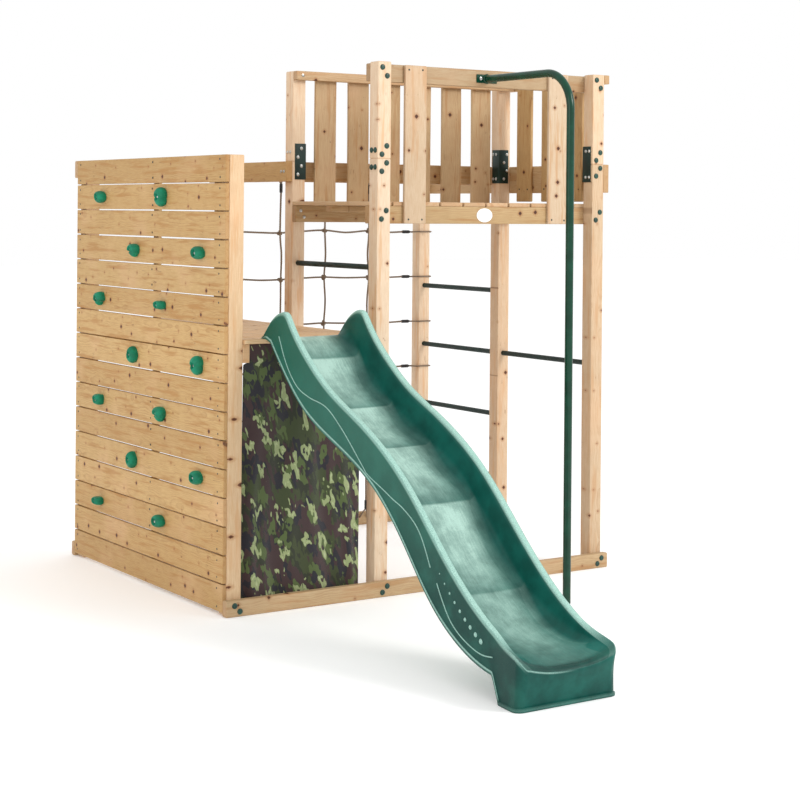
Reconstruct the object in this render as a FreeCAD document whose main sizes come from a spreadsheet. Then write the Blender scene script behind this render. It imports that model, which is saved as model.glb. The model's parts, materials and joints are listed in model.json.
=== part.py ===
import FreeCAD, Part
import math
import os

# A free-standing timber climbing frame: a climbing wall with hand holds on its left side, a den with
# a fabric curtain under a low deck, a wavy slide, a high deck with slatted guards, a sliding pole,
# a rung ladder on the right and a rope net at the back.
# Millimetres. +X runs along the front to the right, +Y to the back, +Z up. The origin is on the
# ground, under the middle of the whole object's box.

doc = FreeCAD.newDocument("climbing_frame")
dims = doc.addObject("Spreadsheet::Sheet", "dims")

DRIVING = {
    # whole frame
    "frame_width": 1962,
    "frame_depth": 1506,
    "wall_top": 1850,
    "tower_top": 2262,
    "tower_offset": 722,
    "tower_depth": 779,
    # timber
    "post_side": 66,
    "plank_thick": 18,
    "slat_thick": 15,
    "beam_thick": 32,
    "base_beam_tall": 65,
    "joist_tall": 76,
    "board_wide": 110,
    # climbing wall
    "wall_gap": 5,
    "wall_ground_gap": 15,
    "stud_wide": 66,
    "batten_wide": 45,
    "batten_thick": 18,
    "batten_place": 680,
    # decks
    "low_deck_top": 1105,
    "high_deck_top": 1668,
    "deck_gap": 8,
    "deck_front": 18,
    "deck_batten_tall": 28,
    # guards and beams
    "top_rail_tall": 76,
    "slim_rail_tall": 41,
    "mid_rail_tall": 92,
    "side_beam_tall": 130,
    "net_beam_tall": 80,
    "slat_wide": 112,
    "front_slat_left": 172,
    "front_slat_right": 170,
    "guard_drop": 10,
    "back_slat_margin": 55,
    "side_slat_margin": 74,
    # steel tube
    "rung_dia": 24,
    "rung_wall": 2,
    "rung_pitch": 306,
    "first_rung": 320,
    "step_bar_height": 1387,
    "pole_dia": 34,
    "pole_wall": 2.5,
    "pole_reach": 593,
    "pole_bend": 160,
    "pole_drop": 44,
    "pole_place": 615,
    "pole_plate_wide": 112,
    "pole_plate_tall": 38,
    "plate_thick": 3,
    "plate_leg": 57,
    "plate_tall": 164,
    # slide
    "slide_wide": 390,
    "slide_centre": 380,
    "slide_rim": 28,
    "slide_skin": 4,
    "slide_front": 1702,
    "slide_lean": 28,
    "slide_flange": 12,
    # curtain
    "curtain_thick": 20,
    "curtain_gap": 8,
    "curtain_right_gap": 64,
    "curtain_inset": 13,
    "curtain_ground_gap": 50,
    "header_gap": 7,
    # climbing holds and fixings
    "hold_depth": 44,
    "cap_dia": 24,
    "cap_high": 6,
    "bolt_dia": 14,
    "bolt_high": 5,
    # rope net
    "rope_dia": 10,
    "knot_dia": 30,
    "ferrule_dia": 17,
    "ferrule_long": 46,
    "net_row_pitch": 235,
    "net_top_row": 1518,
    "net_first": 294,
    "net_pitch": 260,
    # badge
    "badge_wide": 86,
    "badge_tall": 62,
    "badge_place": 610,
}
for row, (alias, value) in enumerate(DRIVING.items(), start=1):
    dims.set(f"A{row}", alias)
    dims.set(f"B{row}", str(value))
    dims.setAlias(f"B{row}", alias)
doc.recompute()


def size(alias):
    """The present value of one cell of the sheet, in millimetres."""
    return float(getattr(dims, alias))


# How many of each repeated piece.
WALL_BOARDS = 16
HIGH_DECK_BOARDS = 10
BACK_SLATS = 6
SIDE_SLATS = 3
RUNGS = 4
NET_ROWS = 6
NET_UPRIGHTS = 3

post = size("post_side")
plank = size("plank_thick")
beam = size("beam_thick")
width = size("frame_width")
depth = size("frame_depth")
tower_x = size("tower_offset")
front_y = beam
middle_y = size("tower_depth") - beam
back_y = depth - post
right_x = width - post
cap_high = size("cap_high")

# The whole object's box, which the origin is centred under.
X_LOW = -size("hold_depth")
X_HIGH = width + beam + cap_high
Y_LOW = -size("slide_front")
Y_HIGH = depth + beam + cap_high
ORIGIN = FreeCAD.Vector((X_LOW + X_HIGH) / 2, (Y_LOW + Y_HIGH) / 2, 0)

PARTS = []
HEADS = []


def keep(piece, label):
    """Name a finished sub-part, and list it for export."""
    piece.Label = label
    PARTS.append(piece)
    return piece


def place(piece, x, y, z, rotation=None):
    """Put a piece at a point of the frame, measured from its near left ground corner."""
    piece.Placement = FreeCAD.Placement(FreeCAD.Vector(x, y, z) - ORIGIN, rotation or FreeCAD.Rotation())
    return piece


def timber(name, length, wide, tall, x, y, z):
    """A squared timber. Its three sides are expressions of the sheet's cells."""
    piece = doc.addObject("Part::Box", name)
    piece.setExpression("Length", length)
    piece.setExpression("Width", wide)
    piece.setExpression("Height", tall)
    return place(piece, x, y, z)


ALONG_X = FreeCAD.Rotation(FreeCAD.Vector(0, 1, 0), 90)
ALONG_Y = FreeCAD.Rotation(FreeCAD.Vector(1, 0, 0), -90)
TOWARDS_FRONT = FreeCAD.Rotation(FreeCAD.Vector(1, 0, 0), 90)
TOWARDS_LEFT = FreeCAD.Rotation(FreeCAD.Vector(0, 1, 0), -90)


def rod(name, dia, length, x, y, z, rotation):
    """A round bar from one end at a point. Its diameter and length are expressions."""
    piece = doc.addObject("Part::Cylinder", name)
    piece.setExpression("Radius", f"({dia}) / 2")
    piece.setExpression("Height", length)
    return place(piece, x, y, z, rotation)


def tube(name, dia, wall, length, x, y, z, rotation):
    """A straight tube: a round bar with a smaller one cut from it."""
    outer = rod(name + "_outer", dia, length, x, y, z, rotation)
    inner = rod(name + "_inner", f"{dia} - 2 * {wall}", length, x, y, z, rotation)
    piece = doc.addObject("Part::Cut", name + "_tube")
    piece.Base = outer
    piece.Tool = inner
    return piece


def group(label, pieces):
    """Several separate solids of one kind, as one sub-part."""
    bundle = doc.addObject("Part::Compound", label)
    bundle.Links = pieces
    return keep(bundle, label)


# ---------------------------------------------------------------- posts

def build_posts():
    """Four full posts that end at the wall's top, and four that carry a spliced extension."""
    lower = {
        "post_front_left": (plank, front_y),
        "post_back_left": (plank, back_y),
        "post_back_middle": (tower_x, back_y),
        "post_back_right": (right_x, back_y),
        "post_tower_front_left": (tower_x, front_y),
        "post_tower_front_right": (right_x, front_y),
        "post_tower_back_left": (tower_x, middle_y),
        "post_tower_back_right": (right_x, middle_y),
    }
    extensions = []
    for name, (x, y) in lower.items():
        piece = timber(name, "dims.post_side", "dims.post_side", "dims.wall_top", x, y, 0)
        keep(piece, name)
        if "tower" in name:
            extension = timber(name + "_extension", "dims.post_side", "dims.post_side",
                               "dims.tower_top - dims.wall_top", x, y, size("wall_top"))
            extensions.append(extension)
    group("post_extensions", extensions)


# ---------------------------------------------------------------- base beams

def build_base_beams():
    for name, y in (("base_beam_front", 0), ("base_beam_back", depth)):
        length = "dims.frame_width + dims.slat_thick"
        keep(timber(name, length, "dims.beam_thick", "dims.base_beam_tall", 0, y, 0), name)


# ---------------------------------------------------------------- climbing wall

board_wide = size("board_wide")
wall_pitch = (size("wall_top") - size("wall_ground_gap") + size("wall_gap")) / WALL_BOARDS


def board_bottom(number):
    """Height of the lower edge of a wall board, counted from 1 at the top."""
    return size("wall_top") - wall_pitch * number + size("wall_gap")


def build_wall():
    """Sixteen boards on the two left posts' outer faces, a stud, and a batten above and below the deck."""
    tall = f"(dims.wall_top - dims.wall_ground_gap + dims.wall_gap) / {WALL_BOARDS} - dims.wall_gap"
    for number in range(1, WALL_BOARDS + 1):
        name = f"wall_board_{number:02d}"
        piece = timber(name, "dims.plank_thick", "dims.frame_depth - dims.beam_thick", tall,
                       0, front_y, board_bottom(number))
        keep(piece, name)
    above = "dims.wall_top - dims.low_deck_top"
    below = "dims.low_deck_top - dims.plank_thick - dims.wall_ground_gap"
    stud = timber("wall_stud_front", "dims.beam_thick", "dims.stud_wide", above,
                  plank, front_y + post, size("low_deck_top"))
    upper = timber("wall_batten_upper", "dims.batten_thick", "dims.batten_wide", above,
                   plank, size("batten_place"), size("low_deck_top"))
    lower = timber("wall_batten_lower", "dims.batten_thick", "dims.batten_wide", below,
                   plank, size("batten_place"), size("wall_ground_gap"))
    group("wall_battens", [stud, upper, lower])


# Each hold: its column's distance from the wall's front end as a share of the wall, its board
# counted from the top, its half width and half height, and how far it tips over.
FAR, MID_FAR, MID_NEAR, NEAR = 0.80, 0.558, 0.377, 0.141
HOLDS = {
    "holds_long": [
        (FAR, 2, 36, 27, 20),
        (MID_NEAR, 2, 34, 42, 8),
        (NEAR, 8, 34, 40, -14),
        (MID_FAR, 8, 30, 39, -10),
        (MID_FAR, 12, 30, 39, -8),
        (NEAR, 12, 38, 28, 20),
    ],
    "holds_round": [
        (NEAR, 4, 39, 28, 0),
        (MID_NEAR, 14, 38, 28, 0),
        (FAR, 6, 34, 31, 12),
        (MID_NEAR, 6, 36, 21, 0),
        (FAR, 14, 36, 21, 0),
    ],
    "holds_hooked": [
        (MID_FAR, 4, 36, 31, -18),
        (MID_NEAR, 10, 38, 34, -18),
        (FAR, 10, 34, 30, 0),
    ],
}


def build_holds():
    """Moulded holds: domes with flat backs, and a bolt head in the middle of each."""
    span = depth - beam
    depth_of_hold = size("hold_depth")
    bolt_seat = 0.45
    for label, rows in HOLDS.items():
        domes = []
        for column, board, half_wide, half_tall, tip in rows:
            y = front_y + column * span
            z = board_bottom(board) + board_wide / 2
            name = f"hold_{label[6:]}_{board}_{len(domes)}"
            dome = doc.addObject("Part::Ellipsoid", name)
            dome.setExpression("Radius1", "dims.hold_depth")
            dome.Radius2 = half_tall
            dome.Radius3 = half_wide
            dome.Angle1 = 0
            turn = FreeCAD.Rotation(FreeCAD.Vector(1, 0, 0), tip)
            place(dome, 0, y, z, turn.multiply(TOWARDS_LEFT))
            seat = rod(name + "_seat", "dims.bolt_dia", "dims.hold_depth", 0, y, z, TOWARDS_LEFT)
            seat.Placement.Base.x -= depth_of_hold * (1 - bolt_seat)
            body = doc.addObject("Part::Cut", name + "_body")
            body.Base = dome
            body.Tool = seat
            domes.append(body)
            HEADS.append(rod(name + "_bolt", "dims.bolt_dia", f"dims.hold_depth * {bolt_seat / 2}",
                             -depth_of_hold * (1 - bolt_seat), y, z, TOWARDS_LEFT))
        group(label, domes)


# ---------------------------------------------------------------- decks

def build_low_deck():
    """Boards along X on two joists along Y. The end boards are cut short beside the left posts."""
    joist_tall = size("joist_tall")
    joist_z = size("low_deck_top") - plank - joist_tall
    joists = []
    for name, x in (("left", plank + post), ("right", tower_x - beam)):
        joists.append(timber(f"low_joist_{name}", "dims.beam_thick", "dims.frame_depth - dims.beam_thick",
                             "dims.joist_tall", x, front_y, joist_z))
    group("low_deck_joists", joists)

    deck_front = size("deck_front")
    gap = size("deck_gap")
    count = math.floor((depth - deck_front + gap) / (board_wide + gap))
    pitch = (depth - deck_front + gap) / count
    wide = f"(dims.frame_depth - dims.deck_front + dims.deck_gap) / {count} - dims.deck_gap"
    boards = []
    for number in range(count):
        y = deck_front + number * pitch
        x = plank
        length = "dims.tower_offset - dims.plank_thick"
        if y < front_y + post or y + pitch - gap > back_y:
            x += post
            length += " - dims.post_side"
        boards.append(timber(f"low_board_{number}", length, wide, "dims.plank_thick",
                             x, y, size("low_deck_top") - plank))
    group("low_deck_boards", boards)


def build_high_deck():
    """Boards along Y on a front joist and a back joist, with a shallow batten under the middle."""
    joist_z = size("high_deck_top") - plank - size("joist_tall")
    back_joist_y = middle_y - beam
    length = "dims.frame_width - dims.tower_offset"
    pieces = []
    for name, y in (("front", front_y + post), ("back", back_joist_y)):
        pieces.append(timber(f"high_joist_{name}", length, "dims.beam_thick", "dims.joist_tall",
                             tower_x, y, joist_z))
    middle = (front_y + post + middle_y - beam) / 2
    pieces.append(timber("high_batten", length, "dims.batten_wide", "dims.deck_batten_tall",
                         tower_x, middle, size("high_deck_top") - plank - size("deck_batten_tall")))
    group("high_deck_joists", pieces)

    pitch = (width - tower_x + size("deck_gap")) / HIGH_DECK_BOARDS
    wide = f"(dims.frame_width - dims.tower_offset + dims.deck_gap) / {HIGH_DECK_BOARDS} - dims.deck_gap"
    run = "dims.tower_depth - 2 * dims.beam_thick - dims.post_side"
    boards = []
    for number in range(HIGH_DECK_BOARDS):
        boards.append(timber(f"high_board_{number}", wide, run, "dims.plank_thick",
                             tower_x + number * pitch, front_y + post, size("high_deck_top") - plank))
    group("high_deck_boards", boards)


# ---------------------------------------------------------------- guards, rails and beams

def build_guards():
    slat = size("slat_thick")
    top = size("tower_top")
    drop = size("guard_drop")
    joist_z = size("high_deck_top") - plank - size("joist_tall")
    inner = "dims.frame_width - dims.tower_offset"

    rail_top = top - drop / 2
    keep(timber("front_top_rail", inner, "dims.beam_thick", "dims.top_rail_tall",
                tower_x, front_y + post, rail_top - size("top_rail_tall")), "front_top_rail")
    keep(timber("back_top_rail", inner, "dims.beam_thick", "dims.slim_rail_tall",
                tower_x, middle_y - beam, top - size("slim_rail_tall")), "back_top_rail")
    keep(timber("back_mid_rail", inner, "dims.beam_thick", "dims.mid_rail_tall",
                tower_x, middle_y + post, size("wall_top") - size("mid_rail_tall")), "back_mid_rail")
    keep(timber("side_top_rail", "dims.beam_thick", "dims.tower_depth - 2 * dims.beam_thick + dims.post_side",
                "dims.slim_rail_tall", width, front_y, top - size("slim_rail_tall")), "side_top_rail")

    front = []
    for name, x in (("left", tower_x + size("front_slat_left")),
                    ("right", width - size("front_slat_right") - size("slat_wide"))):
        tall = ("dims.tower_top - dims.guard_drop / 2 - dims.high_deck_top"
                " + dims.plank_thick + dims.joist_tall")
        front.append(timber(f"front_slat_{name}", "dims.slat_wide", "dims.slat_thick", tall,
                            x, front_y + post - slat, joist_z))
    group("front_slats", front)

    first = tower_x + post + size("back_slat_margin")
    last = right_x - size("back_slat_margin") - size("slat_wide")
    back_pitch = (last - first) / (BACK_SLATS - 1)
    tall = "dims.tower_top - dims.guard_drop - dims.high_deck_top + dims.plank_thick + dims.joist_tall"
    back = []
    for number in range(BACK_SLATS):
        back.append(timber(f"back_slat_{number}", "dims.slat_wide", "dims.slat_thick", tall,
                           first + number * back_pitch, middle_y, joist_z))
    group("back_slats", back)

    start = front_y + post + size("side_slat_margin")
    end = middle_y - size("side_slat_margin") - size("slat_wide")
    side_pitch = (end - start) / (SIDE_SLATS - 1)
    tall = "dims.tower_top - dims.guard_drop - dims.high_deck_top - dims.guard_drop"
    side = []
    for number in range(SIDE_SLATS):
        side.append(timber(f"side_slat_{number}", "dims.slat_thick", "dims.slat_wide", tall,
                           width - slat, start + number * side_pitch, size("high_deck_top") + drop))
    group("side_slats", side)


def build_beams():
    keep(timber("side_beam", "dims.beam_thick", "dims.frame_depth", "dims.side_beam_tall",
                width, front_y, size("wall_top") - size("side_beam_tall")), "side_beam")
    keep(timber("tie_beam", "dims.beam_thick", "dims.frame_depth - dims.tower_depth + dims.beam_thick",
                "dims.mid_rail_tall", tower_x - beam, middle_y,
                size("wall_top") - size("mid_rail_tall")), "tie_beam")
    keep(timber("net_beam", "dims.frame_width", "dims.beam_thick", "dims.net_beam_tall",
                0, depth, size("wall_top") - size("net_beam_tall")), "net_beam")


# ---------------------------------------------------------------- steel tube

def build_rungs():
    """Ladder rungs and grab bars: tubes with their ends let into the posts' facing sides."""
    dia = "dims.rung_dia"
    wall = "dims.rung_wall"
    x = width - post / 2
    ladder_span = "dims.frame_depth - dims.tower_depth + dims.beam_thick - 2 * dims.post_side"
    rungs = []
    for number in range(RUNGS):
        z = size("first_rung") + number * size("rung_pitch")
        rungs.append(tube(f"rung_{number}", dia, wall, ladder_span, x, middle_y + post, z, ALONG_Y))
    group("ladder_rungs", rungs)
    span = "dims.tower_depth - 2 * dims.beam_thick - dims.post_side"
    low = tube("side_bar", dia, wall, span, x, front_y + post,
               size("first_rung") + 2 * size("rung_pitch"), ALONG_Y)
    high = tube("step_bar", dia, wall, span, tower_x + post / 2, front_y + post,
                size("step_bar_height"), ALONG_Y)
    group("grab_bars", [low, high])


def pipe(radius, points, bend):
    """A solid bar along two straight runs joined by one round bend."""
    start, corner, end = points
    back = (start - corner).normalize()
    onward = (end - corner).normalize()
    first = corner + back * bend
    last = corner + onward * bend
    centre = corner + back * bend + onward * bend
    middle = centre + (corner - centre).normalize() * bend
    path = Part.Wire([
        Part.LineSegment(start, first).toShape(),
        Part.Arc(first, middle, last).toShape(),
        Part.LineSegment(last, end).toShape(),
    ])
    ring = Part.Wire([Part.Circle(start, corner - start, radius).toShape()])
    return path.makePipeShell([ring], True, False)


def build_pole():
    """The sliding pole: it leaves a plate on the front rail, bends and drops to the ground."""
    x = tower_x + size("pole_place")
    rail_face = front_y + post
    z = size("tower_top") - size("pole_drop")
    start = FreeCAD.Vector(x, rail_face - size("plate_thick"), z)
    corner = FreeCAD.Vector(x, rail_face - size("pole_reach"), z)
    foot = FreeCAD.Vector(x, rail_face - size("pole_reach"), 0)
    outer = pipe(size("pole_dia") / 2, (start, corner, foot), size("pole_bend"))
    inner = pipe(size("pole_dia") / 2 - size("pole_wall"), (start, corner, foot), size("pole_bend"))
    pole = doc.addObject("Part::Feature", "fire_pole")
    pole.Shape = outer.cut(inner)
    place(pole, 0, 0, 0)
    keep(pole, "fire_pole")

    plate = timber("pole_plate_blank", "dims.pole_plate_wide", "dims.plate_thick", "dims.pole_plate_tall",
                   x - size("pole_plate_wide") / 2, rail_face - size("plate_thick"),
                   z - size("pole_plate_tall") / 2)
    keep(plate, "pole_plate")


def build_splice_plates():
    """Steel angles on the two inward faces of each tower post, across the splice."""
    thick = size("plate_thick")
    z = size("wall_top") - size("plate_tall") / 2
    angles = []
    for name, x, y, side_x, side_y in (
            ("front_left", tower_x, front_y, 1, 1), ("front_right", right_x, front_y, -1, 1),
            ("back_left", tower_x, middle_y, 1, -1), ("back_right", right_x, middle_y, -1, -1)):
        outer_x = x + post if side_x > 0 else x - thick
        outer_y = y + post if side_y > 0 else y - thick
        leg_x = x + post + thick - size("plate_leg") if side_x > 0 else x - thick
        leg_y = y + post + thick - size("plate_leg") if side_y > 0 else y - thick
        flat = timber(f"angle_{name}_x", "dims.plate_leg", "dims.plate_thick", "dims.plate_tall",
                      leg_x, outer_y, z)
        upright = timber(f"angle_{name}_y", "dims.plate_thick", "dims.plate_leg", "dims.plate_tall",
                         outer_x, leg_y, z)
        angle = doc.addObject("Part::Fuse", f"angle_{name}")
        angle.Base = flat
        angle.Tool = upright
        angles.append(angle)
    group("splice_plates", angles)


# ---------------------------------------------------------------- fixings

def build_fixings():
    """Round plastic caps over the outer bolts, and plain bolt heads on the inward faces."""
    base_z = size("base_beam_tall") / 2
    step = size("cap_dia") / 2
    rail_z = size("tower_top") - size("top_rail_tall") / 2 - size("guard_drop") / 2
    joist_z = size("high_deck_top") - plank - size("joist_tall") / 2
    joint_z = size("wall_top")
    caps = []

    def cap(x, y, z, rotation):
        caps.append(rod(f"cap_{len(caps)}", "dims.cap_dia", "dims.cap_high", x, y, z, rotation))

    for x, lean in ((plank + post / 2, 1), (tower_x + post / 2, -1), (right_x + post / 2, -1)):
        cap(x - step, 0, base_z + lean * step, TOWARDS_FRONT)
        cap(x + step, 0, base_z - lean * step, TOWARDS_FRONT)
        cap(x - step, depth + beam, base_z + lean * step, ALONG_Y)
        cap(x + step, depth + beam, base_z - lean * step, ALONG_Y)
    for x in (tower_x + post / 2, right_x + post / 2):
        for z, lean in ((rail_z, 1), (joint_z + 3 * step, -1), (joint_z - 3 * step, -1), (joist_z, -1)):
            cap(x - step, front_y, z + lean * step * 1.5, TOWARDS_FRONT)
            cap(x + step, front_y, z - lean * step * 1.5, TOWARDS_FRONT)
    for z in (joint_z - 3 * step, joint_z + 3 * step):
        for y in (front_y + post / 2 - 1.2 * step, front_y + post / 2 + 1.2 * step):
            cap(tower_x, y, z, TOWARDS_LEFT)
    for y in (front_y + post / 2, middle_y + post / 2, back_y + post / 2):
        cap(width + beam, y - step, joint_z - size("side_beam_tall") / 2 - step, ALONG_X)
        cap(width + beam, y + step, joint_z - size("side_beam_tall") / 2 + step, ALONG_X)
    group("bolt_caps", caps)

    thick = size("plate_thick")

    def head(x, y, z, rotation):
        HEADS.append(rod(f"head_{len(HEADS)}", "dims.bolt_dia", "dims.bolt_high", x, y, z, rotation))

    for x in (tower_x + post / 2, right_x + post / 2):
        for number, z in enumerate((-60, -20, 20, 60)):
            shift = step if number % 2 else -step / 2
            head(x + shift, middle_y - thick, joint_z + z, TOWARDS_FRONT)
        head(x - step / 2, middle_y - beam, joist_z + step * 1.2, TOWARDS_FRONT)
        head(x + step, middle_y - beam, joist_z - step * 1.2, TOWARDS_FRONT)
        head(x, middle_y - beam, size("tower_top") - size("slim_rail_tall") / 2, TOWARDS_FRONT)
    for y in (front_y, middle_y):
        for z in (-60, 60):
            for shift in (-step, step):
                head(right_x - thick, y + post / 2 + shift, joint_z + z, TOWARDS_LEFT)
    for shift in (-step, step):
        head(tower_x - beam, middle_y + post / 2 + shift, joint_z - size("mid_rail_tall") / 2, TOWARDS_LEFT)
        head(tower_x - beam, back_y + post / 2 + shift, joint_z - size("mid_rail_tall") / 2, TOWARDS_LEFT)
        head(tower_x, middle_y + post / 2 + shift, joint_z + 3.6 * step, TOWARDS_LEFT)
    group("bolt_heads", HEADS)


# ---------------------------------------------------------------- slide

# The slide's front and the deck's height that its outline below is drawn for.
DRAWN_FRONT = 1702
DRAWN_DECK = 1105


def curve(points):
    """A smooth curve through points given as (forward of the frame's front, height)."""
    line = Part.BSplineCurve()
    line.interpolate([FreeCAD.Vector(0, -y, z) for y, z in points])
    return line.toShape()


def joined(edges):
    """A closed face from edges in order."""
    return Part.Face(Part.Wire(edges))


def line(first, last):
    return Part.LineSegment(FreeCAD.Vector(0, -first[0], first[1]),
                            FreeCAD.Vector(0, -last[0], last[1])).toShape()


def shifted(points, drop):
    return [(y, z - drop) for y, z in points]


def build_slide():
    """One moulding: a wavy bed between two hollow sides, with raised ears at the top."""
    skin = size("slide_skin")
    rim_wide = size("slide_rim")
    wide = size("slide_wide")
    front = size("slide_front")
    deck = size("low_deck_top")
    scale_y = front / DRAWN_FRONT
    scale_z = deck / DRAWN_DECK

    def fitted(points):
        return [(y * scale_y, z * scale_z) for y, z in points]

    ear_back = fitted([(-62, 1105), (-30, 1138), (14, 1180), (62, 1209), (104, 1220), (130, 1214)])
    rim = fitted([(130, 1214), (205, 1126), (320, 1029), (450, 944), (650, 853), (820, 768),
                  (1000, 644), (1200, 462), (1380, 315), (1520, 232), (1630, 190), (1685, 168), (1702, 138)])
    under = fitted([(22, 1092), (118, 990), (284, 850), (522, 740), (786, 616), (992, 440),
                    (1202, 230), (1320, 155), (1530, 88)])
    bed = fitted([(-42, 1111), (0, 1108), (128, 1026), (360, 860), (640, 731), (850, 622), (1050, 452),
                  (1243, 287), (1430, 196), (1680, 140)])
    heel = (1572 * scale_y, 0)
    tip = rim[-1]
    toe = (front - size("slide_lean"), 0)

    far = 2 * deck
    hook = (4 - size("deck_front"), deck)
    outline = joined([curve(ear_back), curve(rim), line(tip, toe), line(toe, heel), line(heel, under[-1]),
                      curve(under[::-1]), line(under[0], hook), line(hook, ear_back[0])])

    def beyond(points, height):
        """The region between a curve and a level line, past both ends of the curve."""
        first = (-far, points[0][1])
        last = (far, points[-1][1])
        return joined([line(first, points[0]), curve(points), line(points[-1], last),
                       line(last, (far, height)), line((far, height), (-far, height)),
                       line((-far, height), first)])

    def extruded(face, x, thick):
        solid = face.extrude(FreeCAD.Vector(thick, 0, 0))
        solid.translate(FreeCAD.Vector(x, 0, 0))
        return solid

    half = wide / 2
    front_wall = 3 * skin
    foot_inner = (toe[0] - front_wall, 0)
    lip_inner = (tip[0] - front_wall, tip[1])
    corners = [(-far, -far), (foot_inner[0], -far), foot_inner, lip_inner, (lip_inner[0], far), (-far, far)]
    sides = [line(first, last) for first, last in zip(corners, corners[1:] + corners[:1])]
    behind_front = extruded(joined(sides), -half, wide)
    low_ear = shifted(ear_back, skin * 1.6)
    low_rim = shifted(rim, skin * 1.6)
    under_rim = joined([curve(low_ear), curve(low_rim), line(low_rim[-1], (far, low_rim[-1][1])),
                        line((far, low_rim[-1][1]), (far, -far)), line((far, -far), (low_ear[0][0], -far)),
                        line((low_ear[0][0], -far), low_ear[0])])
    cuts = [extruded(beyond(bed, far), -half + rim_wide, wide - 2 * rim_wide)]
    hollows = [extruded(beyond(shifted(bed, skin * 1.4), -far), -half + skin, wide - 2 * skin)]
    for x in (-half + skin, half - rim_wide + skin):
        hollows.append(extruded(under_rim, x, rim_wide - 2 * skin))
    cuts += [hollow.common(behind_front) for hollow in hollows]
    shell = extruded(outline, -half, wide)
    for cut in cuts:
        shell = shell.cut(cut)
    flange = size("slide_flange")
    foot = Part.makeBox(wide + 2 * flange, flange + 2 * skin, flange,
                        FreeCAD.Vector(-half - flange, -toe[0] - flange, 0))
    slide = doc.addObject("Part::Feature", "slide")
    slide.Shape = shell.fuse(foot)
    place(slide, size("slide_centre"), 0, 0)
    keep(slide, "slide")


# ---------------------------------------------------------------- curtain

def build_curtain():
    """The den's fabric front, and the batten that holds its top edge between the two joists."""
    joist_bottom = size("low_deck_top") - plank - size("joist_tall")
    y = front_y + size("curtain_inset")
    inset = size("curtain_gap")
    piece = timber("curtain_panel",
                   "dims.tower_offset - dims.plank_thick - dims.post_side - dims.curtain_gap"
                   " - dims.curtain_right_gap",
                   "dims.curtain_thick",
                   "dims.low_deck_top - dims.plank_thick - dims.joist_tall"
                   " - dims.header_gap - dims.curtain_ground_gap",
                   plank + post + inset, y, size("curtain_ground_gap"))
    keep(piece, "curtain")
    header = timber("curtain_header", "dims.tower_offset - dims.plank_thick - dims.post_side"
                    " - 2 * dims.beam_thick", "dims.curtain_thick", "dims.joist_tall",
                    plank + post + beam, y, joist_bottom)
    keep(header, "curtain_header")


# ---------------------------------------------------------------- rope net

def build_net():
    """Uprights hang from the net beam, rows run post to post, and a ball knot ties each crossing."""
    rope = size("rope_dia")
    upright_y = depth - 2.6 * rope
    row_y = upright_y + rope
    beam_bottom = size("wall_top") - size("net_beam_tall")
    uprights = []
    rows = []
    knots = []
    ferrules = []
    columns = [tower_x + post + size("net_first") + n * size("net_pitch") for n in range(NET_UPRIGHTS)]
    levels = [size("net_top_row") - n * size("net_row_pitch") for n in range(NET_ROWS)]
    for number, x in enumerate(columns):
        uprights.append(rod(f"net_upright_{number}", "dims.rope_dia",
                            "dims.wall_top - dims.net_beam_tall / 2 - dims.base_beam_tall / 2",
                            x, upright_y, size("base_beam_tall") / 2, FreeCAD.Rotation()))
        ferrules.append(rod(f"ferrule_top_{number}", "dims.ferrule_dia", "dims.ferrule_long",
                            x, upright_y, beam_bottom - size("ferrule_long") - rope, FreeCAD.Rotation()))
        ferrules.append(rod(f"ferrule_low_{number}", "dims.ferrule_dia", "dims.ferrule_long",
                            x, upright_y, size("base_beam_tall") + 2 * rope, FreeCAD.Rotation()))
    for number, z in enumerate(levels):
        rows.append(rod(f"net_row_{number}", "dims.rope_dia",
                        "dims.frame_width - dims.tower_offset - 2 * dims.post_side",
                        tower_x + post, row_y, z, ALONG_X))
        for end, x in (("left", tower_x + post + 3 * rope),
                       ("right", right_x - 3 * rope - size("ferrule_long"))):
            ferrules.append(rod(f"ferrule_{end}_{number}", "dims.ferrule_dia", "dims.ferrule_long",
                                x, row_y, z, ALONG_X))
        for column, x in enumerate(columns):
            ball = doc.addObject("Part::Sphere", f"knot_{number}_{column}")
            ball.setExpression("Radius", "dims.knot_dia / 2")
            place(ball, x, (upright_y + row_y) / 2, z)
            knots.append(ball)
    group("net_uprights", uprights)
    group("net_rows", rows)
    group("net_knots", knots)
    group("net_ferrules", ferrules)


def build_badge():
    """A plain oval badge on the front joist."""
    oval = Part.Ellipse(FreeCAD.Vector(0, 0, 0), size("badge_wide") / 2, size("badge_tall") / 2)
    disc = doc.addObject("Part::Feature", "badge_disc")
    disc.Shape = Part.Face(Part.Wire(oval.toShape())).extrude(FreeCAD.Vector(0, 0, size("plate_thick") / 2))
    z = size("high_deck_top") - plank - size("joist_tall") / 2
    place(disc, tower_x + size("badge_place"), front_y + post, z, TOWARDS_FRONT)
    keep(disc, "badge")


build_posts()
build_base_beams()
build_wall()
build_holds()
build_low_deck()
build_high_deck()
build_guards()
build_beams()
build_rungs()
build_pole()
build_splice_plates()
build_fixings()
build_slide()
build_curtain()
build_net()
build_badge()
doc.recompute()

for thing in doc.Objects:
    if "Invalid" in thing.State or "Error" in thing.State:
        raise RuntimeError(f"{thing.Name} failed: {thing.State}")
labels = [piece.Label for piece in PARTS]
if len(set(labels)) != len(labels):
    raise RuntimeError("two sub-parts have one name")
for piece in PARTS:
    if piece.Shape.isNull() or not piece.Shape.isValid() or not piece.Shape.Solids:
        raise RuntimeError(f"{piece.Label} has no valid solid")

os.makedirs("parts", exist_ok=True)
for piece in PARTS:
    piece.Shape.exportStep(f"parts/{piece.Label}.step")
print(len(PARTS), "sub-parts written")
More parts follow.
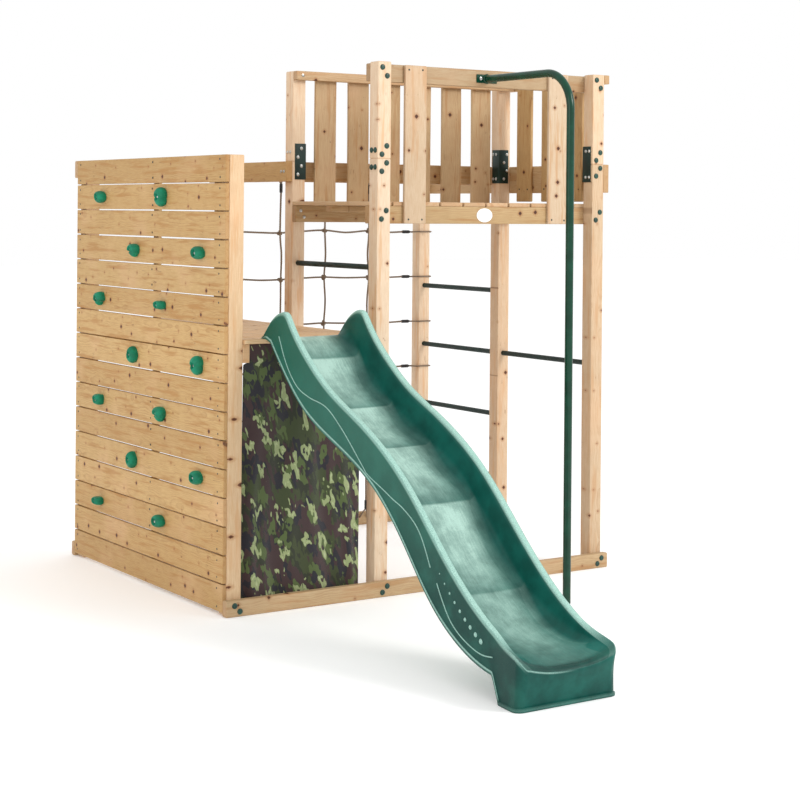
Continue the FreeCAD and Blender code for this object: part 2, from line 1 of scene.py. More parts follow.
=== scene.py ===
import bmesh
import bpy
import json
import math
import random
import numpy as np
from mathutils import Matrix, Vector, noise
from mathutils.bvhtree import BVHTree


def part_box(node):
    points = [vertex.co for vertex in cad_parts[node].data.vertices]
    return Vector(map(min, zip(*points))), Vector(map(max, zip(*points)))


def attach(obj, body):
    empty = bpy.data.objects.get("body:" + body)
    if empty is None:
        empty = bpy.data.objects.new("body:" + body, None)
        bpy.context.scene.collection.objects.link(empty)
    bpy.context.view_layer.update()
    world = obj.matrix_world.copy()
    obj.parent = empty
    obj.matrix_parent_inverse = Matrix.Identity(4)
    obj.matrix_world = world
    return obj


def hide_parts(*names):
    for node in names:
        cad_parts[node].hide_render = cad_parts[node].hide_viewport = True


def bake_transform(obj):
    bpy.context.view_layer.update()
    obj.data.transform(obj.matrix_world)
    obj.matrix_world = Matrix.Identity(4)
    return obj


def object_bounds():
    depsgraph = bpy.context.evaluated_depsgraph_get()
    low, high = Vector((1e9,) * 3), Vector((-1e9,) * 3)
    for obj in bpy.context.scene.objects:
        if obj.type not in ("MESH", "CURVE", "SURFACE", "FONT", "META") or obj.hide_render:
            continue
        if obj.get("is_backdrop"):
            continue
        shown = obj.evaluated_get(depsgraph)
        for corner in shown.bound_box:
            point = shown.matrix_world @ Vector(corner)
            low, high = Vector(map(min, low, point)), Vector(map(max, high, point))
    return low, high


# The looks of a timber climbing frame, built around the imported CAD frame. Metres, +Z up.

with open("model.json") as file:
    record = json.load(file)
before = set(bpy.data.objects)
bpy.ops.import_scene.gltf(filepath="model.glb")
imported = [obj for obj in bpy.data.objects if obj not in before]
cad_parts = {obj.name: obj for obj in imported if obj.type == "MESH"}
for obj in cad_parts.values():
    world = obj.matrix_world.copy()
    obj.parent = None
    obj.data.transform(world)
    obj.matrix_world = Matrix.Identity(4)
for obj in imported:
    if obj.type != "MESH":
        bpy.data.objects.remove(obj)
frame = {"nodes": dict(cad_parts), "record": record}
NODES = frame["nodes"]
SLOT_OF = {row["node"]: row["material_slot"] for row in frame["record"]["subparts"]}
CAD_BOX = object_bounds()


# ---------------------------------------------------------------- camera, lights and floor

# The camera that matches the photo: its lens and shifts, its place, and its turn and roll in degrees.
CAMERA_LENS = 80.04
CAMERA_SHIFT = (-0.0020, -0.2380)
CAMERA_PLACE = (-4.332, -6.200, 1.6345)
CAMERA_TURN = -33.64
CAMERA_ROLL = 0.48


def build_camera():
    data = bpy.data.cameras.new("camera")
    camera = bpy.data.objects.new("camera", data)
    bpy.context.scene.collection.objects.link(camera)
    data.lens = CAMERA_LENS
    data.sensor_width = 36.0
    data.shift_x, data.shift_y = CAMERA_SHIFT
    turn = Matrix.Rotation(math.radians(CAMERA_TURN), 4, "Z")
    upright = Matrix.Rotation(math.radians(90.0), 4, "X")
    roll = Matrix.Rotation(math.radians(CAMERA_ROLL), 4, "Z")
    camera.matrix_world = Matrix.Translation(CAMERA_PLACE) @ turn @ upright @ roll
    bpy.context.scene.camera = camera


def area_light(name, place, target, power, side, colour=(1.0, 1.0, 1.0)):
    data = bpy.data.lights.new(name, "AREA")
    data.energy = power
    data.shape = "RECTANGLE"
    data.size = side
    data.size_y = side
    data.color = colour
    lamp = bpy.data.objects.new(name, data)
    lamp.location = place
    lamp.rotation_euler = (Vector(target) - Vector(place)).to_track_quat("-Z", "Y").to_euler()
    bpy.context.scene.collection.objects.link(lamp)


def build_studio():
    world = bpy.data.worlds.new("studio")
    world.use_nodes = True
    background = world.node_tree.nodes["Background"]
    background.inputs["Color"].default_value = (1.0, 1.0, 1.0, 1.0)
    background.inputs["Strength"].default_value = 1.0
    bpy.context.scene.world = world
    bpy.context.scene.view_settings.view_transform = "Standard"
    area_light("key", (2.8, -5.0, 4.6), (0.0, 0.0, 0.9), 205.0, 2.2, (1.0, 0.99, 0.97))
    area_light("left", (-6.0, -1.5, 3.0), (-0.9, 0.0, 0.9), 45.0, 2.5, (1.0, 0.95, 0.88))
    mesh = bpy.data.meshes.new("floor")
    half = 40.0
    mesh.from_pydata([(-half, -half, 0), (half, -half, 0), (half, half, 0), (-half, half, 0)],
                     [], [(0, 1, 2, 3)])
    floor = bpy.data.objects.new("floor", mesh)
    floor.location.z = -0.001
    bpy.context.scene.collection.objects.link(floor)
    floor.data.materials.append(floor_paint())
    floor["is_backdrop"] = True


# ---------------------------------------------------------------- material helpers

class Term:
    """One output of a material's node, which takes part in plain arithmetic."""

    def __init__(self, paint, socket):
        self.paint = paint
        self.socket = socket

    def __add__(self, other):
        return self.paint.sum("ADD", self, other)

    def __sub__(self, other):
        return self.paint.sum("SUBTRACT", self, other)

    def __mul__(self, other):
        return self.paint.sum("MULTIPLY", self, other)


class Paint:
    """One node material, with short calls for the nodes that it is made of."""

    def __init__(self, name):
        self.material = bpy.data.materials.new(name)
        self.material.use_nodes = True
        self.tree = self.material.node_tree
        self.shader = self.tree.nodes["Principled BSDF"]

    def put(self, value, socket):
        """Link a term to a socket, or set a plain value."""
        if isinstance(value, Term):
            self.tree.links.new(value.socket, socket)
        else:
            socket.default_value = value

    def node(self, kind, output, inputs, **settings):
        """A new node, as the term of one of its outputs."""
        made = self.tree.nodes.new(kind)
        for key, value in settings.items():
            setattr(made, key, value)
        for key, value in inputs.items():
            self.put(value, made.inputs[key])
        return Term(self, made.outputs[output])

    def attribute(self, name, output="Vector"):
        return self.node("ShaderNodeAttribute", output, {}, attribute_name=name)

    def place(self):
        return self.node("ShaderNodeTexCoord", "Object", {})

    def split(self, vector):
        """The three parts of a vector or a colour."""
        first = self.node("ShaderNodeSeparateXYZ", 0, {0: vector})
        return [Term(self, output) for output in first.socket.node.outputs]

    def join(self, *parts):
        return self.node("ShaderNodeCombineXYZ", 0, dict(enumerate(parts)))

    def sum(self, operation, *parts):
        return self.node("ShaderNodeMath", 0, dict(enumerate(parts)), operation=operation)

    def noise(self, vector, scale, detail=3.0, rough=0.55, output="Fac"):
        return self.node("ShaderNodeTexNoise", output,
                         {"Vector": vector, "Scale": scale, "Detail": detail, "Roughness": rough})

    def cells(self, vector, scale, metric="EUCLIDEAN"):
        """How far the nearest of a scatter of points in a plane lies, and that point's random colour."""
        rows = {"Vector": vector, "Scale": scale}
        if metric == "MINKOWSKI":
            rows["Exponent"] = 1.4
        away = self.node("ShaderNodeTexVoronoi", "Distance", rows, voronoi_dimensions="2D", distance=metric)
        return away, Term(self, away.socket.node.outputs["Color"])

    def ramp(self, value, low, high, to_low=0.0, to_high=1.0, smooth="SMOOTHSTEP"):
        rows = {"Value": value, "From Min": low, "From Max": high, "To Min": to_low, "To Max": to_high}
        return self.node("ShaderNodeMapRange", "Result", rows, interpolation_type=smooth)

    def layers(self, colour, *rows):
        """Colours laid over the first one, each row a share and a colour."""
        for share, tone in rows:
            colour = self.node("ShaderNodeMix", 2, {0: share, 6: colour, 7: tone}, data_type="RGBA")
        return colour

    def shade(self, colour, value):
        return self.node("ShaderNodeHueSaturation", 0, {"Value": value, "Color": colour})

    def bump(self, height, strength, distance):
        return self.node("ShaderNodeBump", 0, {"Height": height, "Strength": strength, "Distance": distance})

    def finish(self, colour, roughness, **sockets):
        for key, value in dict(sockets, Base_Color=colour, Roughness=roughness).items():
            self.put(value, self.shader.inputs[key.replace("_", " ")])
        return self.material


def rgb(red, green, blue):
    """A linear colour from its everyday 0-255 screen values."""
    shares = [value / 255.0 for value in (red, green, blue)]
    linear = [share / 12.92 if share <= 0.04045 else ((share + 0.055) / 1.055) ** 2.4 for share in shares]
    return (*linear, 1.0)


def floor_paint():
    paint = Paint("floor_pale")
    colour = paint.layers(rgb(253, 253, 253), (paint.noise(paint.place(), 3.0, 2.0), rgb(255, 255, 255)))
    return paint.finish(colour, 0.9, Specular_IOR_Level=0.2, Emission_Color=(1.0, 1.0, 1.0, 1.0),
                        Emission_Strength=0.10)


def wood_paint():
    """Planed softwood. Attribute "grain" is metres along the log and off its heart, "board" is each board's
    own random numbers, the last of which is its lightness with painted light and shade, "golden" is how
    yellow it is, and "end" is 1 on sawn ends."""
    paint = Paint("planed_softwood")
    grain = paint.attribute("grain")
    along, across, deep = paint.split(grain)
    luck, warmth, depth = paint.split(paint.attribute("board"))
    golden = paint.attribute("golden", "Fac")
    own = luck * 37.0
    wander = paint.noise(paint.join(along * 1.3, across + own, deep), 5.0, 2.0, 0.5)

    # Knots: a scatter of small diamond spots, each the root of a branch that runs through the board.
    knot_pitch = 9.0
    away, spot = paint.cells(paint.join(along + own, deep * 0.5 + across, 0.0), knot_pitch, "MINKOWSKI")
    chance, bigness, _ = paint.split(spot)
    present = paint.sum("GREATER_THAN", chance, 0.30)
    radius = paint.ramp(bigness, 0.2, 1.0, 0.0025, 0.0100)
    inside = paint.noise(grain, 220.0, 2.0) * 0.005 + away * (1.0 / knot_pitch) - radius - 0.002
    knot = paint.ramp(inside, 0.0016, -0.0012) * present
    halo = paint.ramp(inside, 0.014, 0.0) * present
    heart = paint.ramp(inside, -0.001, -0.005) * present

    # Growth rings, pushed aside by the knots.
    off_heart = paint.sum("SQRT", across * across + deep * deep)
    pushed = wander * 0.020 + (halo * 0.005 + off_heart)
    ring = paint.sum("FRACT", pushed * 230.0 + own)
    fade = paint.noise(paint.join(along * 0.7, pushed, own), 26.0, 2.0)
    late = paint.sum("POWER", ring, 3.0) * paint.ramp(ring, 1.0, 0.93) * paint.ramp(fade, 0.3, 0.7, 0.25, 1.0)

    fibre = paint.noise(paint.join(along * 0.022, across, deep), 900.0, 3.0, 0.65)
    streak = paint.noise(paint.join(along * 0.09, across, deep), 48.0, 3.0)
    flush = paint.noise(paint.join(along, across + own, deep), 3.5, 2.0)

    # Thin cracks along the grain, in rare patches.
    crack = paint.noise(paint.join(along * 5.0, across * 60.0, own), 1.0, 1.0) - 0.5
    rare = paint.ramp(paint.noise(paint.join(along * 2.0, across, own), 9.0, 1.0), 0.60, 0.68)
    crack = paint.ramp(paint.sum("ABSOLUTE", crack), 0.008, 0.0) * rare

    def toned(pink, pink_warm, yellow, yellow_warm):
        return paint.layers(paint.layers(rgb(*pink), (warmth, rgb(*pink_warm))),
                            (golden, paint.layers(rgb(*yellow), (warmth, rgb(*yellow_warm)))))

    pale = toned((222, 203, 178), (216, 190, 158), (212, 178, 122), (198, 162, 106))
    dark = toned((192, 154, 118), (180, 136, 98), (170, 126, 74), (160, 114, 62))
    stain = paint.layers(rgb(206, 164, 124), (golden, rgb(176, 128, 70)))
    colour = paint.layers(pale,
                          (late * 0.78, dark),
                          (paint.ramp(fibre, 0.35, 0.72, 0.0, 0.55), dark),
                          (paint.ramp(streak, 0.50, 0.68, 0.0, 0.80), stain),
                          (paint.ramp(flush, 0.5, 0.8, 0.0, 0.40), rgb(222, 180, 140)),
                          (crack * 0.75, rgb(120, 78, 44)),
                          (halo * 0.45, rgb(168, 108, 58)),
                          (knot * 0.95, rgb(108, 60, 33)),
                          (heart * 0.80, rgb(62, 33, 19)),
                          (paint.attribute("end", "Fac") * 0.30, rgb(176, 126, 84)))
    # Each board's lightness: its own random tone, with painted shade on timbers that sit back in shade and
    # painted light on some others.
    colour = paint.shade(colour, paint.ramp(depth, 0.0, 1.0, 0.60, 1.10, smooth="LINEAR"))
    relief = late * 0.6 - fibre - knot - crack
    return paint.finish(colour, paint.ramp(fibre, 0.2, 0.8, 0.48, 0.66),
                        Normal=paint.bump(relief, 0.35, 0.0006), Specular_IOR_Level=0.35)


def hold_paint():
    paint = Paint("moulded_emerald")
    pits = paint.noise(paint.place(), 900.0, 3.0, 0.6)
    cloud = paint.noise(paint.place(), 30.0, 3.0)
    colour = paint.layers(rgb(0, 108, 80),
                          (paint.ramp(cloud, 0.3, 0.7), rgb(0, 134, 100)),
                          (paint.ramp(pits, 0.55, 0.8, 0.0, 0.30), rgb(24, 158, 122)))
    return paint.finish(colour, paint.ramp(pits, 0.3, 0.7, 0.40, 0.56),
                        Normal=paint.bump(pits, 0.25, 0.0006), Specular_IOR_Level=0.32)


def slide_paint():
    """Moulded green plastic. Its vertex attribute holds three shares: the pale bed, scuffs with painted sheen
    and painted shade toward the end of each wave; the pale rim, a painted highlight along the rims, the lower
    beads and the front lip, which also colours the raised side lines and marks; and the outer side, a
    painted-shade colour darkest near the ground, also laid on the bed as a painted dark reflection where the
    lip rolls over.
    """
    paint = Paint("moulded_slide_green")
    bed, rim, side = paint.split(paint.attribute("wear"))
    place = paint.place()
    x, y, z = paint.split(place)
    speck = paint.noise(place, 420.0, 3.0, 0.7)
    cloud = paint.noise(place, 9.0, 4.0, 0.6)
    streak = paint.noise(paint.join(x * 9.0, y, z), 16.0, 3.0, 0.6)
    # Painted shade on the outer side: darkest near the ground and lighter higher up.
    painted_side_shade = paint.layers(rgb(2, 56, 50),
                         (paint.ramp(z, 0.1, 0.9), rgb(30, 92, 78)),
                         (paint.ramp(cloud, 0.40, 0.75, 0.0, 0.45), rgb(38, 106, 92)))
    # The pale bed: scuffs with painted sheen; its share already holds the painted wave shade.
    scuff_and_painted_light = bed * paint.ramp(cloud, 0.25, 0.75, 0.55, 1.15) * paint.ramp(streak, 0.25, 0.75, 0.8, 1.1)
    # Over the base colour: the outer side's painted shade, the bed's pale scuffs and painted sheen, and the
    # rim's painted highlight.
    colour = paint.layers(rgb(6, 76, 68),
                          (paint.ramp(cloud, 0.3, 0.7), rgb(16, 98, 88)),
                          (side, painted_side_shade),
                          (scuff_and_painted_light * paint.ramp(speck, 0.3, 0.7, 0.78, 1.15), rgb(178, 212, 200)),
                          (rim * paint.ramp(speck, 0.32, 0.62, 0.40, 1.0), rgb(172, 212, 200)))
    return paint.finish(colour, paint.ramp(speck, 0.3, 0.7, 0.34, 0.50),
                        Normal=paint.bump(speck, 0.22, 0.0007), Specular_IOR_Level=0.20)


def steel_paint(name, dark, light, rough_low, rough_high, metallic=0.0):
    """Coated or plated steel with a faint orange-peel and rubbed patches."""
    paint = Paint(name)
    peel = paint.noise(paint.place(), 700.0, 2.0)
    patch = paint.noise(paint.place(), 14.0, 3.0)
    colour = paint.layers(dark, (paint.ramp(patch, 0.35, 0.7), light),
                          (paint.ramp(peel, 0.6, 0.9, 0.0, 0.2), light))
    return paint.finish(colour, paint.ramp(patch, 0.3, 0.7, rough_low, rough_high),
                        Normal=paint.bump(peel, 0.12, 0.0003), Metallic=metallic, Specular_IOR_Level=0.35)


def rope_paint():
    """Twisted rope. Attribute "lay" is (metres along, turn round the strand, strand)."""
    paint = Paint("brown_rope")
    along, turn, strand = paint.split(paint.attribute("lay"))
    threads = paint.sum("SINE", along * 3600.0 + turn * 6.0)
    tone = paint.noise(paint.join(along, turn * 0.02, strand), 90.0, 3.0)
    colour = paint.layers(rgb(116, 95, 75),
                          (paint.ramp(tone, 0.3, 0.7), rgb(154, 132, 108)),
                          (paint.ramp(threads, -0.2, 1.0, 0.0, 0.45), rgb(78, 62, 50)))
    return paint.finish(colour, 0.82, Normal=paint.bump(threads, 0.5, 0.0005), Sheen_Weight=0.25)


def fabric_paint():
    """Woven cloth printed with splinter camouflage, with a painted highlight in the middle of each sage
    splinter. Attribute "cloth" is metres across and down.
    """
    paint = Paint("camouflage_cloth")
    cloth = paint.attribute("cloth")
    across, down, _ = paint.split(cloth)
    slanted = down * -0.22 + across

    def patches(shift, wide, tall):
        """Areas with ragged, upright fingers, as a value that is high inside them."""
        fingers = paint.noise(paint.join(slanted * 62.0, down * 20.0, shift), 1.0, 1.0)
        area = paint.noise(paint.join(slanted * wide + shift, down * tall + shift, 0.0), 1.0, 1.0, 0.4)
        return (fingers - 0.5) * 0.5 + area

    def splinters(shift, wide, tall, radius, bend):
        """One ragged upright blob to each cell of a loose grid, drawn out into limbs."""
        fingers = paint.noise(paint.join(slanted * 40.0, down * 17.0, shift), 1.0, 1.5, 0.6, output="Color")
        red, green, _ = paint.split(fingers)
        spread = paint.join(red * bend + (slanted * wide + shift),
                            green * (bend * 1.2) + (down * tall + shift), 0.0)
        return paint.ramp(paint.cells(spread, 1.0)[0], radius + 0.012, radius - 0.012)

    # The last layer, the paler middle of each sage splinter, is a painted highlight standing in for sheen on
    # the folds.
    colour = paint.layers(rgb(32, 37, 16),
                          (paint.ramp(patches(3.1, 9.0, 7.0), 0.49, 0.51), rgb(50, 60, 24)),
                          (paint.ramp(patches(11.7, 9.0, 5.0), 0.50, 0.515), rgb(54, 32, 33)),
                          (splinters(23.3, 12.0, 8.0, 0.26, 1.2), rgb(20, 18, 30)),
                          (splinters(41.2, 11.0, 8.0, 0.22, 1.2), rgb(74, 90, 42)),
                          (splinters(37.9, 11.0, 7.2, 0.19, 1.25), rgb(144, 156, 108)),
                          (splinters(37.9, 11.0, 7.2, 0.06, 1.25), rgb(168, 178, 134)))
    colour = paint.shade(colour, paint.ramp(paint.noise(cloth, 500.0, 3.0), 0.3, 0.7, 0.86, 1.10))
    weave = paint.sum("SINE", across * 4200.0) * paint.sum("SINE", down * 4200.0)
    return paint.finish(colour, 0.78, Normal=paint.bump(weave, 0.25, 0.0004),
                        Sheen_Weight=0.3, Sheen_Roughness=0.5)


def plastic_paint(name, dark, light, rough, bump=0.1):
    paint = Paint(name)
    fine = paint.noise(paint.place(), 500.0, 3.0)
    colour = paint.layers(dark, (paint.ramp(paint.noise(paint.place(), 40.0, 2.0), 0.3, 0.7), light))
    return paint.finish(colour, paint.ramp(fine, 0.3, 0.7, rough * 0.85, rough * 1.15),
                        Normal=paint.bump(fine, bump, 0.0004))


PAINTS = {
    "timber": wood_paint(),
    "hold_plastic": hold_paint(),
    "slide_plastic": slide_paint(),
    "curtain_fabric": fabric_paint(),
    "pole_paint": steel_paint("pole_green", rgb(0, 50, 33), rgb(0, 64, 44), 0.18, 0.26),
    "dark_steel": steel_paint("dark_green_steel", rgb(10, 34, 30), rgb(20, 48, 43), 0.34, 0.50),
    "bolt_steel": steel_paint("zinc", rgb(176, 178, 176), rgb(216, 217, 214), 0.22, 0.42, metallic=1.0),
    "cap_plastic": plastic_paint("cap_green", rgb(14, 52, 42), rgb(24, 70, 58), 0.38),
    "rope": rope_paint(),
    "ferrule_plastic": plastic_paint("ferrule_black", rgb(20, 20, 21), rgb(34, 34, 36), 0.45),
    "badge_plastic": plastic_paint("badge_white", rgb(238, 236, 234), rgb(246, 245, 244), 0.22, 0.03),
}


# ---------------------------------------------------------------- mesh helpers

class Build:
    """Vertices, faces and named vertex values, gathered for one piece."""

    def __init__(self):
        self.points = []
        self.faces = []
        self.values = {}

    def add(self, points, faces, **values):
        start = len(self.points)
        self.points.extend(points)
        self.faces.extend([tuple(start + index for index in face) for face in faces])
        for name, rows in values.items():
            self.values.setdefault(name, []).extend(rows)

    def piece(self, name, smooth=35.0):
        mesh = bpy.data.meshes.new(name)
        mesh.from_pydata([tuple(point) for point in self.points], [], self.faces)
        for key, rows in self.values.items():
            plain = np.ndim(rows[0]) == 0
            layer = mesh.attributes.new(key, "FLOAT" if plain else "FLOAT_VECTOR", "POINT")
            layer.data.foreach_set("value" if plain else "vector", np.array(rows, np.float32).ravel())
        mesh.update()
        return placed(name, mesh, smooth)


def placed(name, mesh, smooth):
    """An object in the scene, smooth but for the edges sharper than an angle in degrees."""
    obj = bpy.data.objects.new(name, mesh)
    bpy.context.scene.collection.objects.link(obj)
    mesh.shade_smooth()
    mesh.set_sharp_from_angle(angle=math.radians(smooth))
    return obj


def extra(obj, slot):
    """Finish a piece that no CAD node stands for."""
    obj.data.materials.append(PAINTS[slot])
    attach(obj, "root")


def stand_in(obj, node):
    """Finish a piece that takes the slot and the place of a CAD node."""
    extra(obj, SLOT_OF[node])
    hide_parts(node)


def islands(node):
    """The box of each separate solid of a CAD node, as (low, high) corners, in a settled order."""
    made = bmesh.new()
    made.from_mesh(NODES[node].data)
    bmesh.ops.remove_doubles(made, verts=made.verts, dist=0.00002)
    seen = set()
    boxes = []
    for first in made.verts:
        if first.index in seen:
            continue
        seen.add(first.index)
        stack = [first]
        corners = []
        while stack:
            vert = stack.pop()
            corners.append(tuple(vert.co))
            fresh = [edge.other_vert(vert) for edge in vert.link_edges]
            fresh = [other for other in fresh if other.index not in seen]
            seen.update(other.index for other in fresh)
            stack.extend(fresh)
        boxes.append((Vector(np.min(corners, 0)), Vector(np.max(corners, 0))))
    made.free()
    return sorted(boxes, key=lambda pair: tuple(round(value, 3) for value in pair[0]))


def grid_faces(rows, columns):
    """Quads between rows of points."""
    return [(row * columns + column, row * columns + column + 1,
             (row + 1) * columns + column + 1, (row + 1) * columns + column)
            for row in range(rows - 1) for column in range(columns - 1)]


def tube_faces(rows, around, capped=True):
    """Quads between rings of points, and a face over each end."""
    faces = [(row * around + step, row * around + (step + 1) % around,
              (row + 1) * around + (step + 1) % around, (row + 1) * around + step)
             for row in range(rows - 1) for step in range(around)]
    if capped:
        faces.append(tuple(range(around))[::-1])
        faces.append(tuple(range((rows - 1) * around, rows * around)))
    return faces


def round_corners(half_a, half_b, radius, steps, inset=0.0):
    """Points round a rectangle with rounded corners, drawn in at the corners by an inset."""
    points = []
    for corner, (side_a, side_b) in enumerate(((1, 1), (-1, 1), (-1, -1), (1, -1))):
        for step in range(steps + 1):
            angle = math.radians(90.0 * corner + 90.0 * step / steps)
            points.append((side_a * (half_a - radius) + (radius - inset) * math.cos(angle),
                           side_b * (half_b - radius) + (radius - inset) * math.sin(angle)))
    return points


# ---------------------------------------------------------------- timber

ARRIS = 0.0032
ARRIS_STEPS = 3
TIMBER_STEP = 0.09


def timber_solid(build, low, high, luck, bow, golden, shade):
    """One planed timber along its longest side, with rounded arrises and a slight bow."""
    sides = np.array(high) - np.array(low)
    order = np.argsort(-sides)
    length, wide, thin = sides[order]
    radius = min(ARRIS, thin * 0.2)
    outline = round_corners(wide / 2, thin / 2, radius, ARRIS_STEPS)
    count = max(3, int(length / TIMBER_STEP) + 1)
    stations = list(np.linspace(radius, length - radius, count))
    insets = [(0.0, radius * 0.8)] + [(value, 0.0) for value in stations] + [(length, radius * 0.8)]
    bow_wide = luck.uniform(-bow, bow) * 0.6
    bow_thin = luck.uniform(-bow, bow) * min(1.0, length)
    twist = luck.uniform(-0.004, 0.004)
    heart = (luck.uniform(0.02, 0.09) * luck.choice((-1, 1)), luck.uniform(0.02, 0.10) * luck.choice((-1, 1)))
    start = luck.uniform(0.0, 40.0)
    # The third number is the board's lightness: its kind's lightness, which holds painted light and shade,
    # and a random tone of its own.
    own = (luck.random(), luck.random(), shade + luck.uniform(-0.12, 0.12))
    points = []
    grain = []
    for along, inset in insets:
        share = along / length * 2.0 - 1.0
        lift = 1.0 - share * share
        for place_w, place_t in outline:
            w = place_w - math.copysign(inset, place_w)
            t = place_t - math.copysign(inset, place_t)
            point = (np.array(low) + np.array(high)) / 2
            point[order] += (along - length / 2, w + bow_wide * lift - t * twist * share,
                             t + bow_thin * lift + w * twist * share)
            points.append(point)
            grain.append((start + along, w + heart[0], t + heart[1]))
    faces = tube_faces(len(insets), len(outline))
    if np.linalg.det(np.eye(3)[order[[1, 2, 0]]]) < 0:
        faces = [face[::-1] for face in faces]
    ends = [1.0 if index in (0, len(insets) - 1) else 0.0 for index in range(len(insets)) for _ in outline]
    build.add(points, faces, grain=grain, board=[own] * len(points), end=ends, golden=[golden] * len(points))


# How golden and how light each kind of timber is, by the start of its name. The lightness is partly painted
# light and shade: the front top rail, the deck joists, the back slats and the base beam, which sit back in
# shade, and the tower's front right post are painted darker, and the low deck and the front left post are
# painted lighter.
TIMBER_TONES_WITH_PAINTED_SHADE = (
    ("wall_board", (1.0, 0.66)),
    ("wall_battens", (0.6, 0.60)),
    ("post_tower_front_right", (0.2, 0.62)),
    ("post_front_left", (0.3, 1.0)),
    ("post", (0.0, 0.92)),
    ("front_slats", (0.15, 0.62)),
    ("back_slats", (0.6, 0.38)),
    ("side_slats", (0.9, 0.56)),
    ("front_top_rail", (0.5, 0.12)),
    ("back_top_rail", (0.4, 0.50)),
    ("base_beam", (0.6, 0.36)),
    ("high_deck_joists", (0.8, 0.28)),
    ("high_deck_boards", (0.4, 0.66)),
    ("low_deck", (0.5, 0.98)),
    ("tie_beam", (1.0, 0.72)),
    ("", (0.6, 0.60)),
)


def build_timbers():
    for node, slot in SLOT_OF.items():
        if slot != "timber":
            continue
        luck = random.Random("timber " + node)
        build = Build()
        bow = 0.0022 if node.startswith(("wall_board", "back_slats", "side_slats")) else 0.001
        if "deck_boards" in node or "post" in node or "beam" in node:
            bow = 0.0006
        golden, shade = next(tone for start, tone in TIMBER_TONES_WITH_PAINTED_SHADE if node.startswith(start))
        for low, high in islands(node):
            timber_solid(build, low, high, luck, bow, golden, shade)
        stand_in(build.piece(node + "_planed"), node)


# ---------------------------------------------------------------- turned pieces: caps, bolts, nails

def lathe(build, place, direction, profile, steps=28):
    """A turned shape: profile rows are (radius, height along the direction)."""
    turn = Vector(direction).to_track_quat("Z", "Y").to_matrix()
    angles = [2 * math.pi * step / steps for step in range(steps)]
    points = [Vector(place) + turn @ Vector((radius * math.cos(angle), radius * math.sin(angle), height))
              for radius, height in profile for angle in angles]
    build.add(points, tube_faces(len(profile), steps))


def outward(low, high, always_back=False):
    """The seat point and outward direction of a cap or a bolt head, along its thinnest side."""
    sides = high - low
    axis = min(range(3), key=lambda number: sides[number])
    seat = (low + high) / 2
    if axis == 0:
        centre = sum(corner.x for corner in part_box("net_beam")) / 2
    else:
        centre = (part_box("base_beam_front")[0].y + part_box("base_beam_back")[1].y) / 2
    sign = -1.0 if always_back or seat[axis] < centre else 1.0
    direction = Vector((0.0, 0.0, 0.0))
    direction[axis] = sign
    seat[axis] = low[axis] if sign > 0 else high[axis]
    return seat, direction


def build_caps():
    build = Build()
    for low, high in islands("bolt_caps"):
        seat, direction = outward(low, high)
        radius = max(high - low) / 2
        tall = min(high - low)
        profile = [(radius, 0.0), (radius, tall * 0.25), (radius * 0.96, tall * 0.45)]
        for step in range(1, 7):
            angle = math.radians(15.0 * step)
            profile.append((radius * 0.34 + radius * 0.58 * math.cos(angle),
                            tall * (0.45 + 0.55 * math.sin(angle))))
        profile += [(radius * 0.30, tall * 0.90), (radius * 0.10, tall * 0.88)]
        lathe(build, seat, direction, profile)
    stand_in(build.piece("bolt_caps_domed", smooth=40.0), "bolt_caps")


def bolt_head(build, seat, direction, radius, tall):
    """A domed head with a six-sided socket."""
    profile = [(radius * 1.18, 0.0), (radius * 1.18, tall * 0.18),
               (radius, tall * 0.22), (radius, tall * 0.35)]
    for step in range(1, 6):
        angle = math.radians(18.0 * step)
        profile.append((radius * (0.42 + 0.58 * math.cos(angle)), tall * (0.35 + 0.65 * math.sin(angle))))
    profile += [(radius * 0.38, tall * 0.95), (radius * 0.36, tall * 0.45), (radius * 0.05, tall * 0.42)]
    lathe(build, seat, direction, profile, steps=24)


def build_bolts():
    build = Build()
    for low, high in islands("bolt_heads"):
        seat, direction = outward(low, high, always_back=True)
        sides = sorted(high - low)
        bolt_head(build, seat, direction, sides[2] / 2.2, sides[0])
    stand_in(build.piece("bolt_heads_socketed", smooth=40.0), "bolt_heads")


def build_nails():
    """Two nail heads at each end of each board, and where a batten or rail lies behind it."""
    build = Build()
    radius = 0.0045
    profile = [(radius, -0.0004), (radius, 0.0001), (radius * 0.8, 0.0004), (radius * 0.1, 0.0004)]
    luck = random.Random("nails")

    def nail(x, y, z, direction):
        shift = luck.uniform(-0.003, 0.003)
        drift = luck.uniform(-0.003, 0.003)
        spot = Vector((x, y, z)) + Vector((0 if direction[0] else shift, shift if direction[0] else 0, drift))
        lathe(build, spot, direction, profile, steps=10)

    batten_low, batten_high = max(islands("wall_battens"), key=lambda pair: pair[0].y)
    middle = (batten_low.y + batten_high.y) / 2
    for number in range(1, 17):
        low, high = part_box(f"wall_board_{number:02d}")
        for y in (low.y + 0.050, middle, high.y - 0.034):
            for z in (low.z + 0.020, high.z - 0.020):
                nail(low.x, y, z, (-1, 0, 0))
    rail_low, rail_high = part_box("front_top_rail")
    joist_low, joist_high = islands("high_deck_joists")[0]
    for low, high in islands("front_slats"):
        for z in ((rail_low.z + rail_high.z) / 2 + 0.018, (joist_low.z + joist_high.z) / 2 - 0.02):
            for x in (low.x + 0.020, high.x - 0.020):
                nail(x, low.y, z, (0, -1, 0))
    for low, high in islands("back_slats"):
        for z in (high.z - 0.025, low.z + 0.035):
            for x in (low.x + 0.022, high.x - 0.022):
                nail(x, high.y, z, (0, 1, 0))
    for low, high in islands("side_slats"):
        for z in (high.z - 0.022, low.z + 0.060):
            for y in (low.y + 0.022, high.y - 0.022):
                nail(low.x, y, z, (-1, 0, 0))
    extra(build.piece("nail_heads"), "dark_steel")


# ---------------------------------------------------------------- climbing holds

